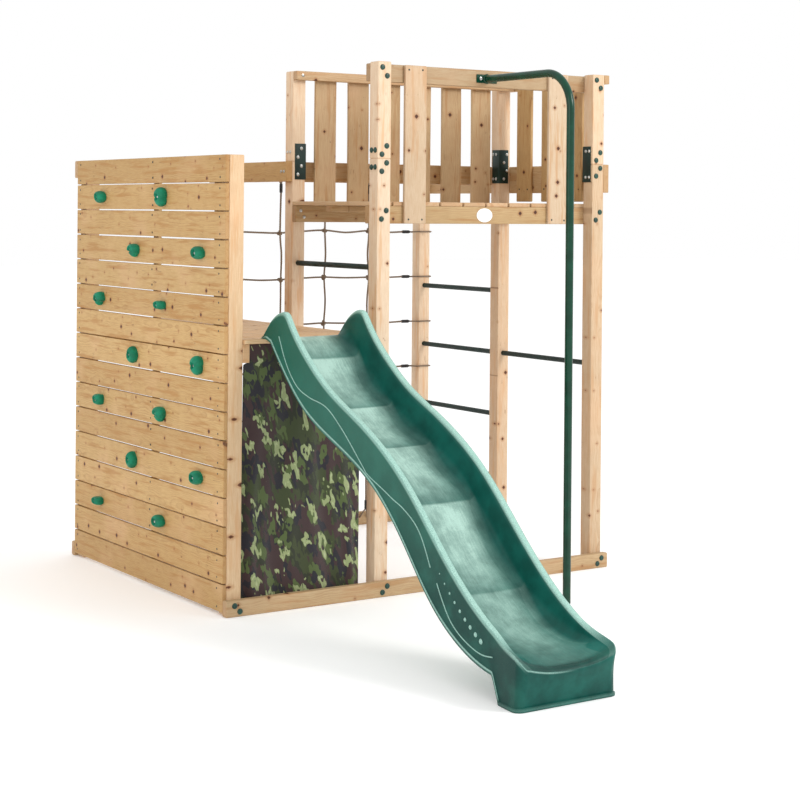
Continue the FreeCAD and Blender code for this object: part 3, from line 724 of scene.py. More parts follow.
def hold_outline(kind, angle):
    """How far a hold's edge lies from its middle, as a share of its half size, at an angle."""
    up = math.sin(angle)
    side = math.cos(angle)
    if kind == "peanut":
        return 1.0 - 0.28 * math.exp(-((up + 0.12) / 0.30) ** 2) * (1.15 if side < 0 else 0.8)
    if kind == "claw":
        bite = math.exp(-((angle - math.radians(215)) / 0.42) ** 2)
        thumb = math.exp(-((angle - math.radians(288)) / 0.26) ** 2)
        return 0.92 + 0.10 * math.cos(2 * angle) - 0.42 * bite + 0.26 * thumb
    if kind == "drop":
        return 1.0 - 0.22 * max(0.0, -up) ** 2 * abs(side) * 3.2 + 0.05 * math.cos(5 * angle + 0.6)
    if kind == "teardrop":
        return 0.96 - 0.24 * max(0.0, up) * abs(side) ** 0.7 + 0.04 * math.cos(3 * angle)
    if kind == "bucket":
        return 0.90 + 0.09 * math.cos(4 * angle + math.pi) - 0.14 * max(0.0, -up) * abs(side)
    if kind == "squat":
        return 0.95 + 0.06 * math.cos(4 * angle + math.pi)
    if kind == "round":
        return 0.97 + 0.035 * math.cos(3 * angle + 1.0)
    return 0.98 + 0.04 * math.cos(3 * angle + 0.5)


# How far each hold's rounded face turns, in degrees, and how deep its bolt sits, as a share of its depth.
HOLD_SWEEP = 116.0
HOLD_SEAT = 0.55


def build_hold(build, low, high, kind, seed):
    """A moulded hold on the wall's face: a rounded body with a lip and a sunk bolt seat."""
    middle = (low + high) / 2
    depth, wide, tall = high - low
    rings, spokes = 26, 56
    widest = math.radians(HOLD_SWEEP)
    seat_radius = 0.0100
    offset = Vector((0.0, seed * 7.3, 0.0))
    points = []
    for ring in range(rings + 1):
        # Every ring but the last few lies on the front; the last ones turn back in to the wall.
        turn = widest * (1.0 - ring / rings)
        share = math.sin(turn) ** (0.80 if turn < math.pi / 2 else 1.0)
        lift = (math.cos(turn) - math.cos(widest)) / (1.0 - math.cos(widest))
        for spoke in range(spokes):
            angle = 2 * math.pi * spoke / spokes
            edge = hold_outline(kind, angle)
            y = -math.cos(angle) * edge * wide / 2 * share
            z = math.sin(angle) * edge * tall / 2 * share
            lump = noise.noise(Vector((y, z, 0.0)) * 30.0 + offset) * 0.16 * lift
            slant = 0.08 * math.sin(angle) * share * lift
            height = depth * min(0.985, max(0.0, lift ** 0.9 + lump * (1.0 - share) + slant))
            flat = math.hypot(y, z)
            if turn < 1.2 and flat < seat_radius * 1.7:
                blend = eased((flat - seat_radius) / (seat_radius * 0.7))
                height = depth * HOLD_SEAT * (1.0 - blend) + height * blend
            points.append((high.x - height, middle.y + y, middle.z + z))
    build.add(points, [face[::-1] for face in tube_faces(rings + 1, spokes, capped=False)])


# The kind of each hold, from the top row down and from the back of the wall to its front.
HOLD_KINDS = {
    "holds_long": ("oval", "peanut", "teardrop", "peanut", "teardrop", "oval"),
    "holds_round": ("round", "drop", "squat", "squat", "round"),
    "holds_hooked": ("claw", "bucket", "claw"),
}


def build_holds():
    for node, kinds in HOLD_KINDS.items():
        build = Build()
        found = sorted(islands(node), key=lambda pair: (-round((pair[0].z + pair[1].z) / 2, 2), -pair[0].y))
        for number, ((low, high), kind) in enumerate(zip(found, kinds)):
            build_hold(build, low, high, kind, number + len(node))
        stand_in(build.piece(node + "_moulded", smooth=60.0), node)


# ---------------------------------------------------------------- steel tube

def carried(path):
    """Each point of a path with two directions across it, carried along without a twist, and how
    far along it lies."""
    side = (path[1] - path[0]).normalized().orthogonal().normalized()
    travelled = 0.0
    for index, point in enumerate(path):
        tangent = (path[min(len(path) - 1, index + 1)] - path[max(0, index - 1)]).normalized()
        side = (side - tangent * side.dot(tangent)).normalized()
        if index:
            travelled += (point - path[index - 1]).length
        yield point, side, tangent.cross(side), travelled


def tube_mesh(build, path, radius, steps, strand=None):
    """A round tube along a path. A strand of a rope, which has a number, also gets its lay."""
    rows = []
    lay = []
    for point, side, other, travelled in carried([Vector(spot) for spot in path]):
        for step in range(steps):
            angle = 2 * math.pi * step / steps
            rows.append(point + side * radius * math.cos(angle) + other * radius * math.sin(angle))
            lay.append((travelled, angle, strand))
    build.add(rows, tube_faces(len(path), steps), **({} if strand is None else {"lay": lay}))


def build_pole():
    low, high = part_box("fire_pole")
    radius = (high.x - low.x) / 2
    x = (low.x + high.x) / 2
    level = high.z - radius
    reach = low.y + radius
    bend = 0.160
    path = [(x, high.y, level), (x, high.y - 0.10, level)]
    for step in range(25):
        angle = math.radians(90.0 * step / 24)
        path.append((x, reach + bend - bend * math.sin(angle), level - bend + bend * math.cos(angle)))
    path += [(x, reach, level - bend - 0.5), (x, reach, 0.5), (x, reach, 0.004), (x, reach, 0.0)]
    build = Build()
    tube_mesh(build, path, radius, 40)
    stand_in(build.piece("fire_pole_bent", smooth=50.0), "fire_pole")


def build_plate():
    """The pole's bracket: a plate with rounded corners, two bolts and a weld collar round the tube."""
    low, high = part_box("pole_plate")
    pole_low, pole_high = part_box("fire_pole")
    x = (pole_low.x + pole_high.x) / 2
    build = Build()
    rounded_plate(build, low, high, 0.003)
    stand_in(build.piece("pole_plate_rounded", smooth=30.0), "pole_plate")
    bolts = Build()
    level = (low.z + high.z) / 2
    spread = (high.x - low.x) * 0.29
    for side in (-1, 1):
        bolt_head(bolts, (x + side * spread, low.y, level), (0, -1, 0), 0.0070, 0.0055)
    extra(bolts.piece("pole_plate_bolts", smooth=40.0), "bolt_steel")
    collar = Build()
    radius = (pole_high.x - pole_low.x) / 2
    lathe(collar, (x, low.y, level), (0, -1, 0),
          [(radius + 0.0052, 0.0), (radius + 0.0048, 0.002),
           (radius + 0.0022, 0.0045), (radius + 0.0003, 0.006)],
          steps=40)
    extra(collar.piece("pole_weld", smooth=50.0), "pole_paint")


def rounded_plate(build, low, high, radius, steps=6):
    """A flat plate across Y with rounded corners and slightly rounded faces."""
    middle = (low + high) / 2
    half = (high - low) / 2
    ease = min(0.0008, half.y * 0.5)
    points = []
    for level, inset in ((-half.y, ease), (-half.y + ease, 0.0), (half.y - ease, 0.0), (half.y, ease)):
        for x, z in round_corners(half.x, half.z, radius, steps, inset):
            points.append(middle + Vector((x, level, z)))
    build.add(points, [face[::-1] for face in tube_faces(4, 4 * (steps + 1))])


def build_splices():
    """Steel angles: the CAD shape with its edges eased."""
    mesh = NODES["splice_plates"].data.copy()
    made = bmesh.new()
    made.from_mesh(mesh)
    bmesh.ops.remove_doubles(made, verts=made.verts, dist=0.00002)
    bmesh.ops.dissolve_limit(made, angle_limit=math.radians(1.0), verts=made.verts, edges=made.edges)
    sharp = [edge for edge in made.edges if edge.calc_face_angle(0.0) > math.radians(40)]
    bmesh.ops.bevel(made, geom=sharp, offset=0.0007, segments=2, affect="EDGES", profile=0.6)
    made.to_mesh(mesh)
    made.free()
    mesh.materials.clear()
    stand_in(placed("splice_plates_eased", mesh, 50.0), "splice_plates")


RIB_PITCH = 0.010


def build_rungs():
    """Tubes with a fine ribbed grip between plain ends."""
    for node in ("ladder_rungs", "grab_bars"):
        build = Build()
        for low, high in islands(node):
            middle = (low + high) / 2
            radius = (high.x - low.x) / 2
            length = high.y - low.y
            profile = [(radius * 0.5, 0.0), (radius, 0.0), (radius, 0.012)]
            position = 0.015
            while position < length - 0.016:
                profile += [(radius, position), (radius, position + 0.0055),
                            (radius - 0.0008, position + 0.0068), (radius - 0.0008, position + 0.0088)]
                position += RIB_PITCH
            profile += [(radius, length - 0.012), (radius, length), (radius * 0.5, length)]
            lathe(build, (middle.x, low.y, middle.z), (0, 1, 0), profile, steps=24)
        stand_in(build.piece(node + "_ribbed"), node)


# ---------------------------------------------------------------- slide

LIP_BLEND = 0.19
LIP_SAG = 0.010
FOOT_FLARE = 0.014
# The distances forward of the frame at which the slide's waves have their crests.
SLIDE_CRESTS = (-0.030, 0.125, 0.370, 0.640, 0.930, 1.240, 1.600)
LAST_WAVE = len(SLIDE_CRESTS) - 1
RIM_ROUND = 0.005
RIM_WIDE = 0.028
CORNER = 0.030
# The rows at the foot's rounded end, where the skirt reaches the ground.
FOOT_ROWS = 14


class SlideForm:
    """Heights of the CAD slide, read off its mesh by vertical rays, and its plan outline."""

    def __init__(self):
        mesh = NODES["slide"].data
        points = [vert.co.copy() for vert in mesh.vertices]
        self.tree = BVHTree.FromPolygons(points, [tuple(face.vertices) for face in mesh.polygons])
        low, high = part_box("slide")
        foot = [point for point in points if point.z > 0.02]
        self.left = min(point.x for point in foot)
        self.right = max(point.x for point in foot)
        self.centre = (self.left + self.right) / 2
        self.half = (self.right - self.left) / 2
        self.back = high.y
        self.front = min(point.y for point in foot)
        self.flange = self.left - low.x
        self.lean = min(point.y for point in points if point.z < 0.01) + self.flange - self.front
        self.front_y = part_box("base_beam_front")[0].y

    def above(self, x, y):
        hit = self.tree.ray_cast(Vector((x, y, 3.0)), Vector((0, 0, -1)))
        return hit[0].z if hit[0] else None

    def below(self, x, y):
        hit = self.tree.ray_cast(Vector((x, y, -0.5)), Vector((0, 0, 1)))
        return hit[0].z if hit[0] else None


def eased(share):
    """0 to 1 with a gentle start and end."""
    share = min(1.0, max(0.0, share))
    return share * share * (3.0 - 2.0 * share)


def smoothed(values, passes=3):
    rows = list(values)
    for _ in range(passes):
        inner = [(rows[i - 1] + 2 * rows[i] + rows[i + 1]) / 4 for i in range(1, len(rows) - 1)]
        rows = [rows[0]] + inner + [rows[-1]]
    return rows


def filled(values):
    """The same list with each gap taking the nearest value before it, or after it at the start."""
    rows = list(values)
    for index in range(1, len(rows)):
        if rows[index] is None:
            rows[index] = rows[index - 1]
    for index in range(len(rows) - 2, -1, -1):
        if rows[index] is None:
            rows[index] = rows[index + 1]
    return rows


def slide_stations(form):
    """Distances forward of the slide's back end, closer together at the corner and the heel."""
    length = form.back - form.front
    places = list(np.arange(0.0, length - CORNER, 0.0075))
    for step in range(13):
        places.append(length - CORNER + CORNER * math.sin(math.radians(90.0 * step / 12)))
    return places


def wave_of(ahead):
    """Which wave a place lies in, and how far through it, from 0 at its upper crest to 1."""
    for number, (crest, following) in enumerate(zip(SLIDE_CRESTS, SLIDE_CRESTS[1:])):
        if ahead < following:
            return number, max(0.0, (ahead - crest) / (following - crest))
    return LAST_WAVE, (ahead - SLIDE_CRESTS[-1]) / 0.12


def build_slide():
    form = SlideForm()
    length = form.back - form.front
    places = slide_stations(form)
    edge_x = form.left + 0.0018
    tops = []
    beds = []
    unders = []
    for place in places:
        y = min(form.back - 0.0012, max(form.front + 0.0012, form.back - place))
        tops.append(form.above(edge_x, y))
        beds.append(form.above(form.centre, y))
        unders.append(form.below(edge_x, y))
    beds = smoothed(filled(beds), 4)
    tops = smoothed(filled(tops), 2)
    unders = filled(unders)
    across = slide_across()
    columns = len(across)
    build = Build()
    points = []
    wear = []
    for index, place in enumerate(places):
        y = form.back - place
        number, share = wave_of(form.front_y - y)
        half = form.half
        from_front = length - place
        if from_front < CORNER:
            half = form.half - CORNER + math.sqrt(max(0.0, CORNER ** 2 - (CORNER - from_front) ** 2))
        hollow = 0.011 * math.sin(math.pi * min(1.0, share)) ** 1.5 if 0 < number < LAST_WAVE else 0.0
        fillet = 0.020 + 0.038 * math.sin(math.pi * min(1.0, share)) ** 0.8
        rim_top = max(tops[index], beds[index] + 0.002)
        bowl = eased((LIP_BLEND - from_front) / (LIP_BLEND - 0.02))
        half += FOOT_FLARE * bowl
        roll = max(0.0, 1.0 - from_front / 0.017) ** 2
        # Painted dark reflection: over its last 50 mm the bed takes the outer side's darker colour and loses
        # its pale, where the lip rolls over.
        lip = eased((0.050 - from_front) / 0.034)
        middle = beds[index] - LIP_SAG * bowl - 0.010 * roll
        for kind, share_across in across:
            x, z, marks = slide_top(kind, share_across, half, rim_top, beds[index] - hollow,
                                    fillet, share, number)
            dished = middle + (rim_top - middle) * min(1.0, abs(x) / (half - RIM_ROUND)) ** 2.4
            points.append((form.centre + x, y, z + (dished - z) * bowl))
            # The rim's painted highlight fades out in the foot's bowl.
            wear.append((marks[0] * (1.0 - lip), marks[1] * (1.0 - 0.9 * bowl), max(marks[2], lip)))
    rows = len(places)
    build.add(points, grid_faces(rows, columns), wear=wear)
    add_skirt(build, form, points, rows, columns, unders, places)
    obj = build.piece("slide_moulded", smooth=48.0)
    made = bmesh.new()
    made.from_mesh(obj.data)
    bmesh.ops.remove_doubles(made, verts=made.verts, dist=0.00005)
    bmesh.ops.recalc_face_normals(made, faces=made.faces)
    made.to_mesh(obj.data)
    made.free()
    point_up(obj.data)
    shell = obj.modifiers.new("shell", "SOLIDIFY")
    shell.thickness = 0.004
    shell.offset = -1.0
    apply_modifiers(obj)
    obj.data.shade_smooth()
    obj.data.set_sharp_from_angle(angle=math.radians(48))
    stand_in(obj, "slide")
    return form, places, unders, tops


def point_up(mesh):
    """Turn every face over if the slide's bed faces down."""
    tall = max(mesh.polygons, key=lambda face: abs(face.normal.z) * face.area)
    if tall.normal.z < 0:
        mesh.flip_normals()


def apply_modifiers(obj):
    graph = bpy.context.evaluated_depsgraph_get()
    done = bpy.data.meshes.new_from_object(obj.evaluated_get(graph))
    obj.modifiers.clear()
    old = obj.data
    obj.data = done
    bpy.data.meshes.remove(old)


def slide_across():
    """The kinds of point across the top, from the left rim's outer edge to the right one's."""
    rim = [("rim", value) for value in (0.0, 0.06, 0.16, 0.32, 0.5, 0.68, 0.84, 0.94, 1.0)]
    wall = [("wall", value) for value in np.linspace(0.08, 1.0, 12)]
    bed = [("bed", value) for value in np.linspace(0.04, 1.0, 16)]
    left = [(kind, -value - 1e-9) for kind, value in rim + wall + bed]
    right = [(kind, value + 1e-9) for kind, value in (rim + wall + bed[:-1])[::-1]]
    return left + right


def slide_top(kind, place, half, rim_top, bed, fillet, share, number):
    """One point of the slide's upper side, across and up, with its shares of pale bed, pale rim and outer
    side colour: scuffs, painted shade and painted highlight.
    """
    side = -1.0 if place < 0 else 1.0
    amount = abs(place)
    outer = half - RIM_ROUND
    inner = half - RIM_WIDE
    tall = max(0.001, rim_top - bed)
    curve = min(fillet, tall * 0.9)
    slope = min(0.010, tall * 0.10)
    crown = 0.0025
    # Painted shade: the bed and the pale low on the inner wall grow darker toward the end of each wave, where
    # the bed turns steeper before the next crest.
    dark = min(1.0, max(0.0, share)) ** 2.2
    if kind == "rim":
        x = outer - (outer - inner) * amount
        drop = 0.0045 * max(0.0, (amount - 0.80) / 0.20) ** 2
        z = rim_top + crown * (1.0 - (2 * amount - 1) ** 2) - drop
        # The rim's top is painted pale as a highlight, with a little of the outer side's painted shade.
        return side * x, z, (0.0, 1.0, 0.15)
    if kind == "wall":
        # Down the inner side, then round the fillet into the bed.
        straight = tall - curve
        arc = curve * math.pi / 2
        travel = amount * (straight + arc)
        if travel < straight:
            down = travel
            inward = slope * travel / max(tall, 1e-6)
        else:
            angle = (travel - straight) / max(curve, 1e-6)
            down = straight + curve * math.sin(angle)
            inward = slope * straight / max(tall, 1e-6) + curve * (1.0 - math.cos(angle))
        x = inner - inward
        z = rim_top - 0.0045 - max(0.0, down - 0.0045)
        # Pale rubbing low on the inner wall, under the painted wave shade; the wall's top edge carries on the
        # rim's painted highlight.
        pale_rub_and_highlight = 0.35 * max(0.0, amount - 0.75) / 0.25 * (1.0 - 0.7 * dark) if number < LAST_WAVE else 0.0
        return side * x, z, (pale_rub_and_highlight, 0.25 * max(0.0, 0.12 - amount) / 0.12, 0.0)
    edge = inner - slope * (tall - curve) / max(tall, 1e-6) - curve
    x = edge * (1.0 - amount)
    centred = 1.0 - x / max(edge, 1e-6)
    z = bed - 0.003 * math.sin(math.pi / 2 * centred)
    # The bed is paler toward its middle with scuffs and painted sheen, and darker toward each wave's end with
    # painted shade.
    pale = (0.44 + 0.62 * min(1.0, centred * 1.6)) * (1.0 - 0.72 * dark)
    if number == 5:
        pale *= 0.6
    if number >= LAST_WAVE:
        pale *= 0.15
    return side * x, z, (pale, 0.0, 0.0)


def skirt_way(form, before, spot, after, straight):
    """The level direction out from the top's edge at a spot between two others."""
    if straight:
        return Vector((math.copysign(1.0, spot.x - form.centre), 0.0, 0.0))
    way = Vector((after.y - before.y, before.x - after.x, 0.0))
    if way.length <= 1e-6:
        return Vector((0.0, -1.0, 0.0))
    way.normalize()
    inward = way.y > 0 if abs(way.x) < 0.5 else way.x * (spot.x - form.centre) < 0
    return -way if inward else way


def skirt_profile(form, spot, bottom, facing):
    """Rows of distance out, height and painted highlight, from the top's edge down to the flange's foot."""
    head = spot.z
    grounded = bottom < 0.001
    flange = form.flange * (0.5 + 0.5 * facing) if grounded else 0.0045
    height = max(0.004, head - bottom)
    round_off = min(RIM_ROUND + 0.010 * facing, height * 0.3)
    along_lip = (spot.x - form.left) / (form.right - form.left)
    # The rim's rounded outer edge is painted pale as a highlight, less on the front, with a painted glint
    # along the left part of the front lip.
    profile = [(0.0, head, 0.9 - 0.8 * facing)]
    for angle in (22.0, 45.0, 68.0, 90.0):
        turn = math.radians(angle)
        glint = 0.9 * facing * (1.0 - eased((along_lip - 0.25) / 0.35)) if angle == 45.0 else 0.0
        profile.append((RIM_ROUND * math.sin(turn), head - round_off * (1 - math.cos(turn)),
                        0.8 - 0.8 * facing + glint))
    bead = min(0.013, height * 0.35)
    for share in np.linspace(0.0, 1.0, 18)[1:]:
        profile.append((RIM_ROUND - 0.0018 * math.sin(math.pi * share),
                        head - round_off - (height - round_off - bead) * share, 0.0))
    # The bead along a side's lower edge is painted pale as a highlight; the flange on the ground only a
    # little.
    pale_rub_and_highlight = 0.15 if grounded else 1.2
    return profile + [(RIM_ROUND + flange * 0.45, bottom + bead - min(0.006, bead * 0.6) * 0.3, pale_rub_and_highlight),
                      (RIM_ROUND + flange * 0.90, bottom + bead * 0.78, pale_rub_and_highlight),
                      (RIM_ROUND + flange, bottom + bead * 0.5, 0.2), (RIM_ROUND + flange, bottom, 0.0)]


def add_skirt(build, form, points, rows, columns, unders, places):
    """The outer side, the front and its ground flange, hung from the top's outer edge."""
    ring = [(row, 0) for row in range(rows)] + [(rows - 1, column) for column in range(1, columns - 1)]
    ring += [(row, columns - 1) for row in range(rows - 1, -1, -1)]
    top = [Vector(points[row * columns + column]) for row, column in ring]
    skirt = []
    wear = []
    for index, (row, column) in enumerate(ring):
        spot = top[index]
        straight = column in (0, columns - 1) and places[row] < places[-1] - CORNER
        way = skirt_way(form, top[max(0, index - 1)], spot, top[min(len(ring) - 1, index + 1)], straight)
        facing = max(0.0, -way.y)
        profile = skirt_profile(form, spot, 0.0 if row > rows - FOOT_ROWS else unders[row], facing)
        for out, z, painted_highlight in profile:
            lean = form.lean * facing * (1.0 - z / max(spot.z, 0.001))
            edge = spot + way * (out - lean)
            skirt.append((edge.x, edge.y, z))
            # The painted highlight goes into the pale rim share; the outer side's painted shade is lighter
            # under it and half as strong on the front.
            wear.append((0.0, painted_highlight * 0.8, (1.0 - painted_highlight * 0.5) * (1.0 - 0.5 * facing)))
    build.add(skirt, [face[::-1] for face in grid_faces(len(ring), len(profile))], wear=wear)


# Thin raised lines on each side of the slide: distance forward of the frame, and height as a
# share of the way from the slide's lower edge to its rim.
SIDE_LINES = (
    ((0.080, 0.50), (0.130, 0.24), (0.220, 0.20), (0.320, 0.36), (0.450, 0.60), (0.560, 0.49), (0.700, 0.17),
     (0.765, 0.11), (0.900, 0.35), (0.980, 0.55), (1.060, 0.69), (1.110, 0.67), (1.160, 0.50)),
    ((1.200, 0.45), (1.235, 0.33), (1.285, 0.21), (1.355, 0.19), (1.460, 0.26), (1.528, 0.42)),
)
LINE_RADIUS = 0.0022
MARKS = 9


def build_slide_lines(form, places, unders, tops):
    """Raised lines that wander along each side of the slide, and a row of small round marks."""
    ahead = [form.front_y - form.back + place for place in places]
    build = Build()

    def spot(side, forward, share, out):
        low = np.interp(forward, ahead, unders)
        high = np.interp(forward, ahead, tops)
        return Vector((form.centre + side * (form.half + out), form.front_y - forward,
                       low + (high - low) * share))

    for side in (-1, 1):
        for line in SIDE_LINES:
            guide = even_path([(forward, share, 0.0) for forward, share in line], 0.006)
            path = [spot(side, point.x, point.y, -0.0010) for point in guide]
            tube_mesh(build, path, LINE_RADIUS, 8)
        for number in range(MARKS):
            share = number / (MARKS - 1)
            radius = 0.0030 + 0.0065 * share
            seat = spot(side, 1.215 + 0.245 * share, 0.66 - 0.14 * share, -0.0016)
            profile = [(radius, 0.0), (radius * 0.85, radius * 0.20), (radius * 0.5, radius * 0.34),
                       (radius * 0.05, radius * 0.38)]
            lathe(build, seat, (side, 0, 0), profile, steps=14)
    # The raised lines and marks take the pale of the rim share.
    build.values["wear"] = [(0.0, 0.9, 0.0)] * len(build.points)
    extra(build.piece("slide_side_lines", smooth=60.0), "slide_plastic")


# ---------------------------------------------------------------- curtain

def build_curtain():
    """The den's front: cloth that covers its header and hangs in soft folds below it."""
    low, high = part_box("curtain")
    head_low, head_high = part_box("curtain_header")
    columns, rows = 132, 190
    top = head_high.z - 0.001
    length = top - low.z
    wide = high.x - low.x
    face = head_low.y - 0.0025
    mid = (low.y + high.y) / 2
    points = []
    cloth = []
    offset = Vector((4.2, 0.0, 1.7))
    for row in range(rows):
        down = row / (rows - 1)
        z = top - length * down
        hang = min(1.0, max(0.0, (head_low.z - z) / (head_low.z - low.z)))
        ease = hang ** 0.7
        notch = min(1.0, max(0.0, (head_low.z + 0.004 - z) / 0.012))
        left = head_low.x + 0.001 + (low.x - head_low.x - 0.001) * notch
        right = high.x
        for column in range(columns):
            share = column / (columns - 1)
            x = left + (right - left) * share
            drift = noise.noise(Vector((share * 1.7, down * 1.1, 0.3)) + offset)
            phase = 2 * math.pi * (3.1 * share + 0.55 * drift) + 0.7
            fold = math.sin(phase) + 0.45 * math.sin(2.3 * phase + 1.1 + 1.2 * down)
            crumple = noise.noise(Vector((share * 9.0, down * 5.0, 2.0)) + offset)
            wave = fold * 0.0085 * ease * (1.2 - 0.5 * share) + crumple * 0.004 * ease
            y = face * (1.0 - ease) + mid * ease + wave
            sway = 0.004 * ease * math.sin(phase * 0.5)
            points.append((x + sway, y, z + 0.003 * math.sin(phase) * hang ** 3))
            cloth.append((share * wide, down * length, 0.0))
    build = Build()
    build.add(points, grid_faces(rows, columns), cloth=cloth)
    obj = build.piece("curtain_cloth", smooth=180.0)
    thick = obj.modifiers.new("thickness", "SOLIDIFY")
    thick.thickness = 0.0014
    thick.offset = 0.0
    apply_modifiers(obj)
    obj.data.shade_smooth()
    obj.data.materials.append(PAINTS["curtain_fabric"])
    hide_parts("curtain")
    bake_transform(obj)


# ---------------------------------------------------------------- rope net

ROPE_STEP = 0.0045
ROPE_LAY = 0.034
KNOT_SIZE = 0.0115
# How far the two tails of an upright rope part, and how thick a tail is, as a share of the rope.
TAIL_SPREAD = 0.020
TAIL_SHARE = 0.82


def even_path(points, step):
    """Points a step apart along a smooth curve through the given ones."""
    knots = [Vector(point) for point in points]
    dense = []
    for index in range(len(knots) - 1):
        before = knots[max(0, index - 1)]
        first, last = knots[index:index + 2]
        after = knots[min(len(knots) - 1, index + 2)]
        bend = 2 * before - 5 * first + 4 * last - after
        turn = 3 * first - before - 3 * last + after
        pieces = max(4, int((last - first).length / step))
        for part in range(pieces):
            u = part / pieces
            dense.append(0.5 * ((2 * first) + (last - before) * u + bend * u * u + turn * u ** 3))
    dense.append(knots[-1])
    return dense


def rope(build, points, dia, step=ROPE_STEP):
    """Three strands twisted round a path."""
    strands = [[], [], []]
    for point, side, other, travelled in carried(even_path(points, step)):
        for number, strand in enumerate(strands):
            angle = 2 * math.pi * (travelled / ROPE_LAY + number / 3)
            strand.append(point + (side * math.cos(angle) + other * math.sin(angle)) * dia * 0.25)
    for number, strand in enumerate(strands):
        tube_mesh(build, strand, dia * 0.27, 7, strand=float(number))


def knot_path(middle, turn, size):
    """A small overhand knot as a closed curve, round a crossing."""
    steps = 30
    points = []
    for step in range(steps + 1):
        t = 2 * math.pi * step / steps
        spot = Vector((math.sin(t) + 2 * math.sin(2 * t), math.cos(t) - 2 * math.cos(2 * t),
                       -1.2 * math.sin(3 * t)))
        points.append(middle + turn @ (spot * size / 3.0))
    return points


def build_net():
    """Upright ropes and rows of rope, a knot at each crossing and a ferrule on each lashing."""
    uprights = islands("net_uprights")
    rows = sorted(islands("net_rows"), key=lambda pair: -pair[0].z)
    dia = uprights[0][1].x - uprights[0][0].x
    luck = random.Random("net")
    columns = [(low.x + high.x) / 2 for low, high in uprights]
    levels = [(low.z + high.z) / 2 for low, high in rows]
    upright_y = (uprights[0][0].y + uprights[0][1].y) / 2
    row_y = (rows[0][0].y + rows[0][1].y) / 2
    shift = {(row, column): (luck.uniform(-0.006, 0.006), luck.uniform(-0.008, 0.008))
             for row in range(len(levels)) for column in range(len(columns))}
    build_net_uprights(columns, levels, upright_y, dia, shift, luck)
    build_net_rows(columns, levels, row_y, dia, shift, luck)
    build = Build()
    for (row, column), (dx, dz) in shift.items():
        turn = Matrix.Rotation(luck.uniform(0, 6.28), 3, "Y") @ Matrix.Rotation(math.radians(90), 3, "X")
        middle = Vector((columns[column] + dx, (upright_y + row_y) / 2, levels[row] + dz))
        rope(build, knot_path(middle, turn, KNOT_SIZE), dia * 0.92, step=0.0035)
    stand_in(build.piece("net_knots_tied", smooth=60.0), "net_knots")
    build_ferrules()


def build_net_uprights(columns, levels, y, dia, shift, luck):
    """The upright ropes, with two tails up round the net beam and two down round the base beam."""
    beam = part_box("net_beam")[0]
    base_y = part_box("base_beam_back")[0].y
    base_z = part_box("base_beam_back")[1].z
    top = beam.z - 0.056
    foot = base_z + 0.066
    build = Build()
    for column, x in enumerate(columns):
        path = [(x, y, foot)]
        for row in range(len(levels) - 1, -1, -1):
            dx, dz = shift[(row, column)]
            path.append((x + dx, y, levels[row] + dz))
            if row:
                middle = (levels[row] + levels[row - 1]) / 2
                path.append((x + dx * 0.4 + luck.uniform(-0.005, 0.005),
                             y + luck.uniform(-0.003, 0.003), middle))
        path.append((x, y, top))
        rope(build, path, dia)
        for side in (-TAIL_SPREAD, TAIL_SPREAD):
            rope(build, [(x, y, top + 0.044), (x + side * 0.6, y + 0.006, beam.z + 0.012),
                         (x + side, beam.y - 0.004, beam.z + 0.034),
                         (x + side, beam.y + 0.012, beam.z + 0.040)], dia * TAIL_SHARE)
            rope(build, [(x, y, foot - 0.044), (x + side * 0.5, y + 0.008, base_z + 0.006),
                         (x + side, base_y - 0.004, base_z - 0.022),
                         (x + side, base_y + 0.010, base_z - 0.028)], dia * TAIL_SHARE)
    stand_in(build.piece("net_uprights_twisted", smooth=60.0), "net_uprights")


def build_net_rows(columns, levels, y, dia, shift, luck):
    """The rows of rope, each with a loop round the post at either end."""
    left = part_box("post_back_middle")
    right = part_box("post_back_right")
    start = left[1].x + 0.070
    end = right[0].x - 0.070
    build = Build()
    for row, z in enumerate(levels):
        path = [(start, y, z)]
        for column, x in enumerate(columns):
            dx, dz = shift[(row, column)]
            path.append(((path[-1][0] + x) / 2, y + luck.uniform(-0.002, 0.002),
                         z + dz * 0.5 - luck.uniform(0.0, 0.006)))
            path.append((x + dx, y, z + dz))
        path.append(((columns[-1] + end) / 2, y, z - 0.003))
        path.append((end, y, z))
        rope(build, path, dia)
        for post, ferrule, sign in ((left, start - 0.044, -1), (right, end + 0.044, 1)):
            rope(build, loop_round(*post, ferrule, y, z, dia * 0.5, sign), dia * TAIL_SHARE)
    stand_in(build.piece("net_rows_twisted", smooth=60.0), "net_rows")


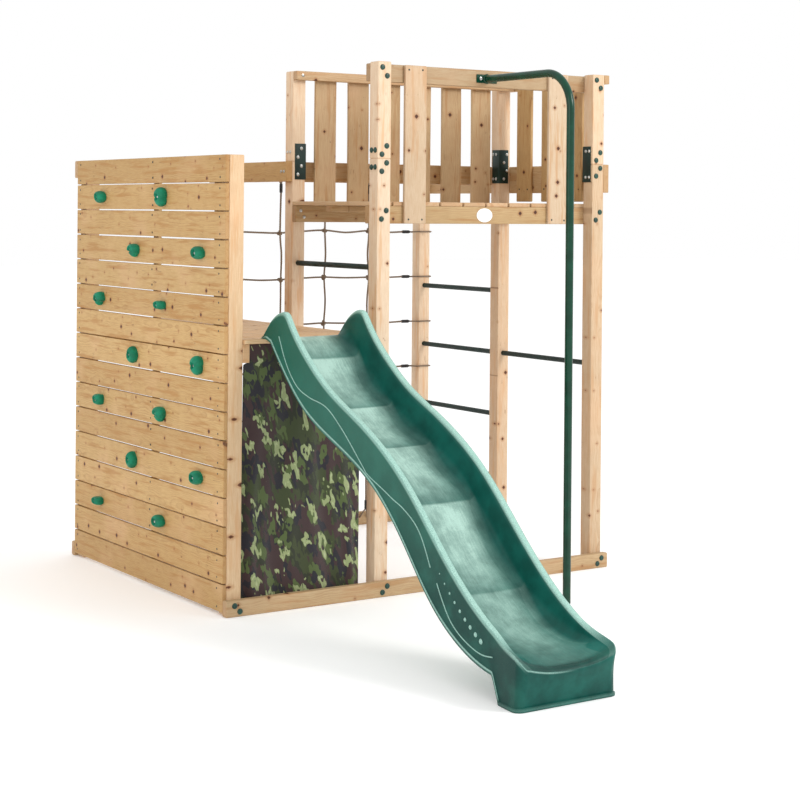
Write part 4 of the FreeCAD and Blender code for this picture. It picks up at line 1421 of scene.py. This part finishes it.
def build_ferrules():
    """Ribbed black sleeves along the ends of the ropes."""
    ribs = 6
    build = Build()
    for low, high in islands("net_ferrules"):
        sides = high - low
        axis = max(range(3), key=lambda number: sides[number])
        length = sides[axis]
        radius = min(sides) / 2
        direction = Vector((0, 0, 0))
        direction[axis] = 1.0
        seat = (low + high) / 2
        seat[axis] = low[axis]
        pitch = (length - 0.008) / ribs
        profile = [(radius * 0.55, 0.0), (radius * 0.8, 0.0), (radius * 0.86, 0.002)]
        for rib in range(ribs):
            start = 0.004 + (length - 0.008) * rib / ribs
            profile += [(radius * 0.86, start), (radius, start + pitch * 0.25),
                        (radius, start + pitch * 0.70), (radius * 0.86, start + pitch * 0.92)]
        profile += [(radius * 0.86, length - 0.002), (radius * 0.8, length), (radius * 0.55, length)]
        lathe(build, seat, direction, profile, steps=24)
    stand_in(build.piece("net_ferrules_ribbed", smooth=30.0), "net_ferrules")


def loop_round(low, high, ferrule, row_y, z, gap, sign):
    """A rope that leaves a ferrule, goes round a post just outside its faces, and comes back."""
    near = low.x - gap if sign > 0 else high.x + gap
    far = high.x + gap if sign > 0 else low.x - gap
    front = low.y - gap
    back = high.y + gap * 0.6
    ease = 0.006
    return [
        (ferrule, row_y - 0.003, z),
        ((ferrule + near) / 2, (row_y + front) / 2, z + 0.001),
        (near + sign * ease, front, z + 0.002),
        ((near + far) / 2, front - 0.001, z + 0.002),
        (far - sign * ease, front, z + 0.002),
        (far, front + ease, z + 0.001),
        (far, (front + back) / 2, z),
        (far, back - ease, z - 0.001),
        (far - sign * ease, back, z - 0.002),
        ((near + far) / 2, back, z - 0.002),
        (near + sign * ease, back, z - 0.002),
        ((ferrule + near) / 2, (row_y + back) / 2, z - 0.001),
        (ferrule, row_y + 0.003, z),
    ]


# ---------------------------------------------------------------- badge

def build_badge():
    """A plain oval disc with a raised rim and no mark."""
    low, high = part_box("badge")
    middle = (low + high) / 2
    half = (high - low) / 2
    rows = ((1.0, 0.0), (1.0, 0.45), (0.985, 0.85), (0.96, 1.0), (0.93, 1.0), (0.91, 0.72),
            (0.86, 0.68), (0.6, 0.78), (0.3, 0.84), (0.02, 0.86))
    steps = 72
    angles = [2 * math.pi * step / steps for step in range(steps)]
    points = [(middle.x + half.x * share * math.cos(angle), high.y - 2 * half.y * out,
               middle.z + half.z * share * math.sin(angle)) for share, out in rows for angle in angles]
    build = Build()
    build.add(points, tube_faces(len(rows), steps))
    stand_in(build.piece("badge_oval", smooth=30.0), "badge")


build_camera()
build_studio()
build_timbers()
build_caps()
build_bolts()
build_nails()
build_holds()
build_pole()
build_plate()
build_splices()
build_rungs()
build_slide_lines(*build_slide())
build_curtain()
build_net()
build_badge()


def plain(box):
    return [[float(value) for value in corner] for corner in box]


{"cad": plain(CAD_BOX), "visual": plain(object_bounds())}
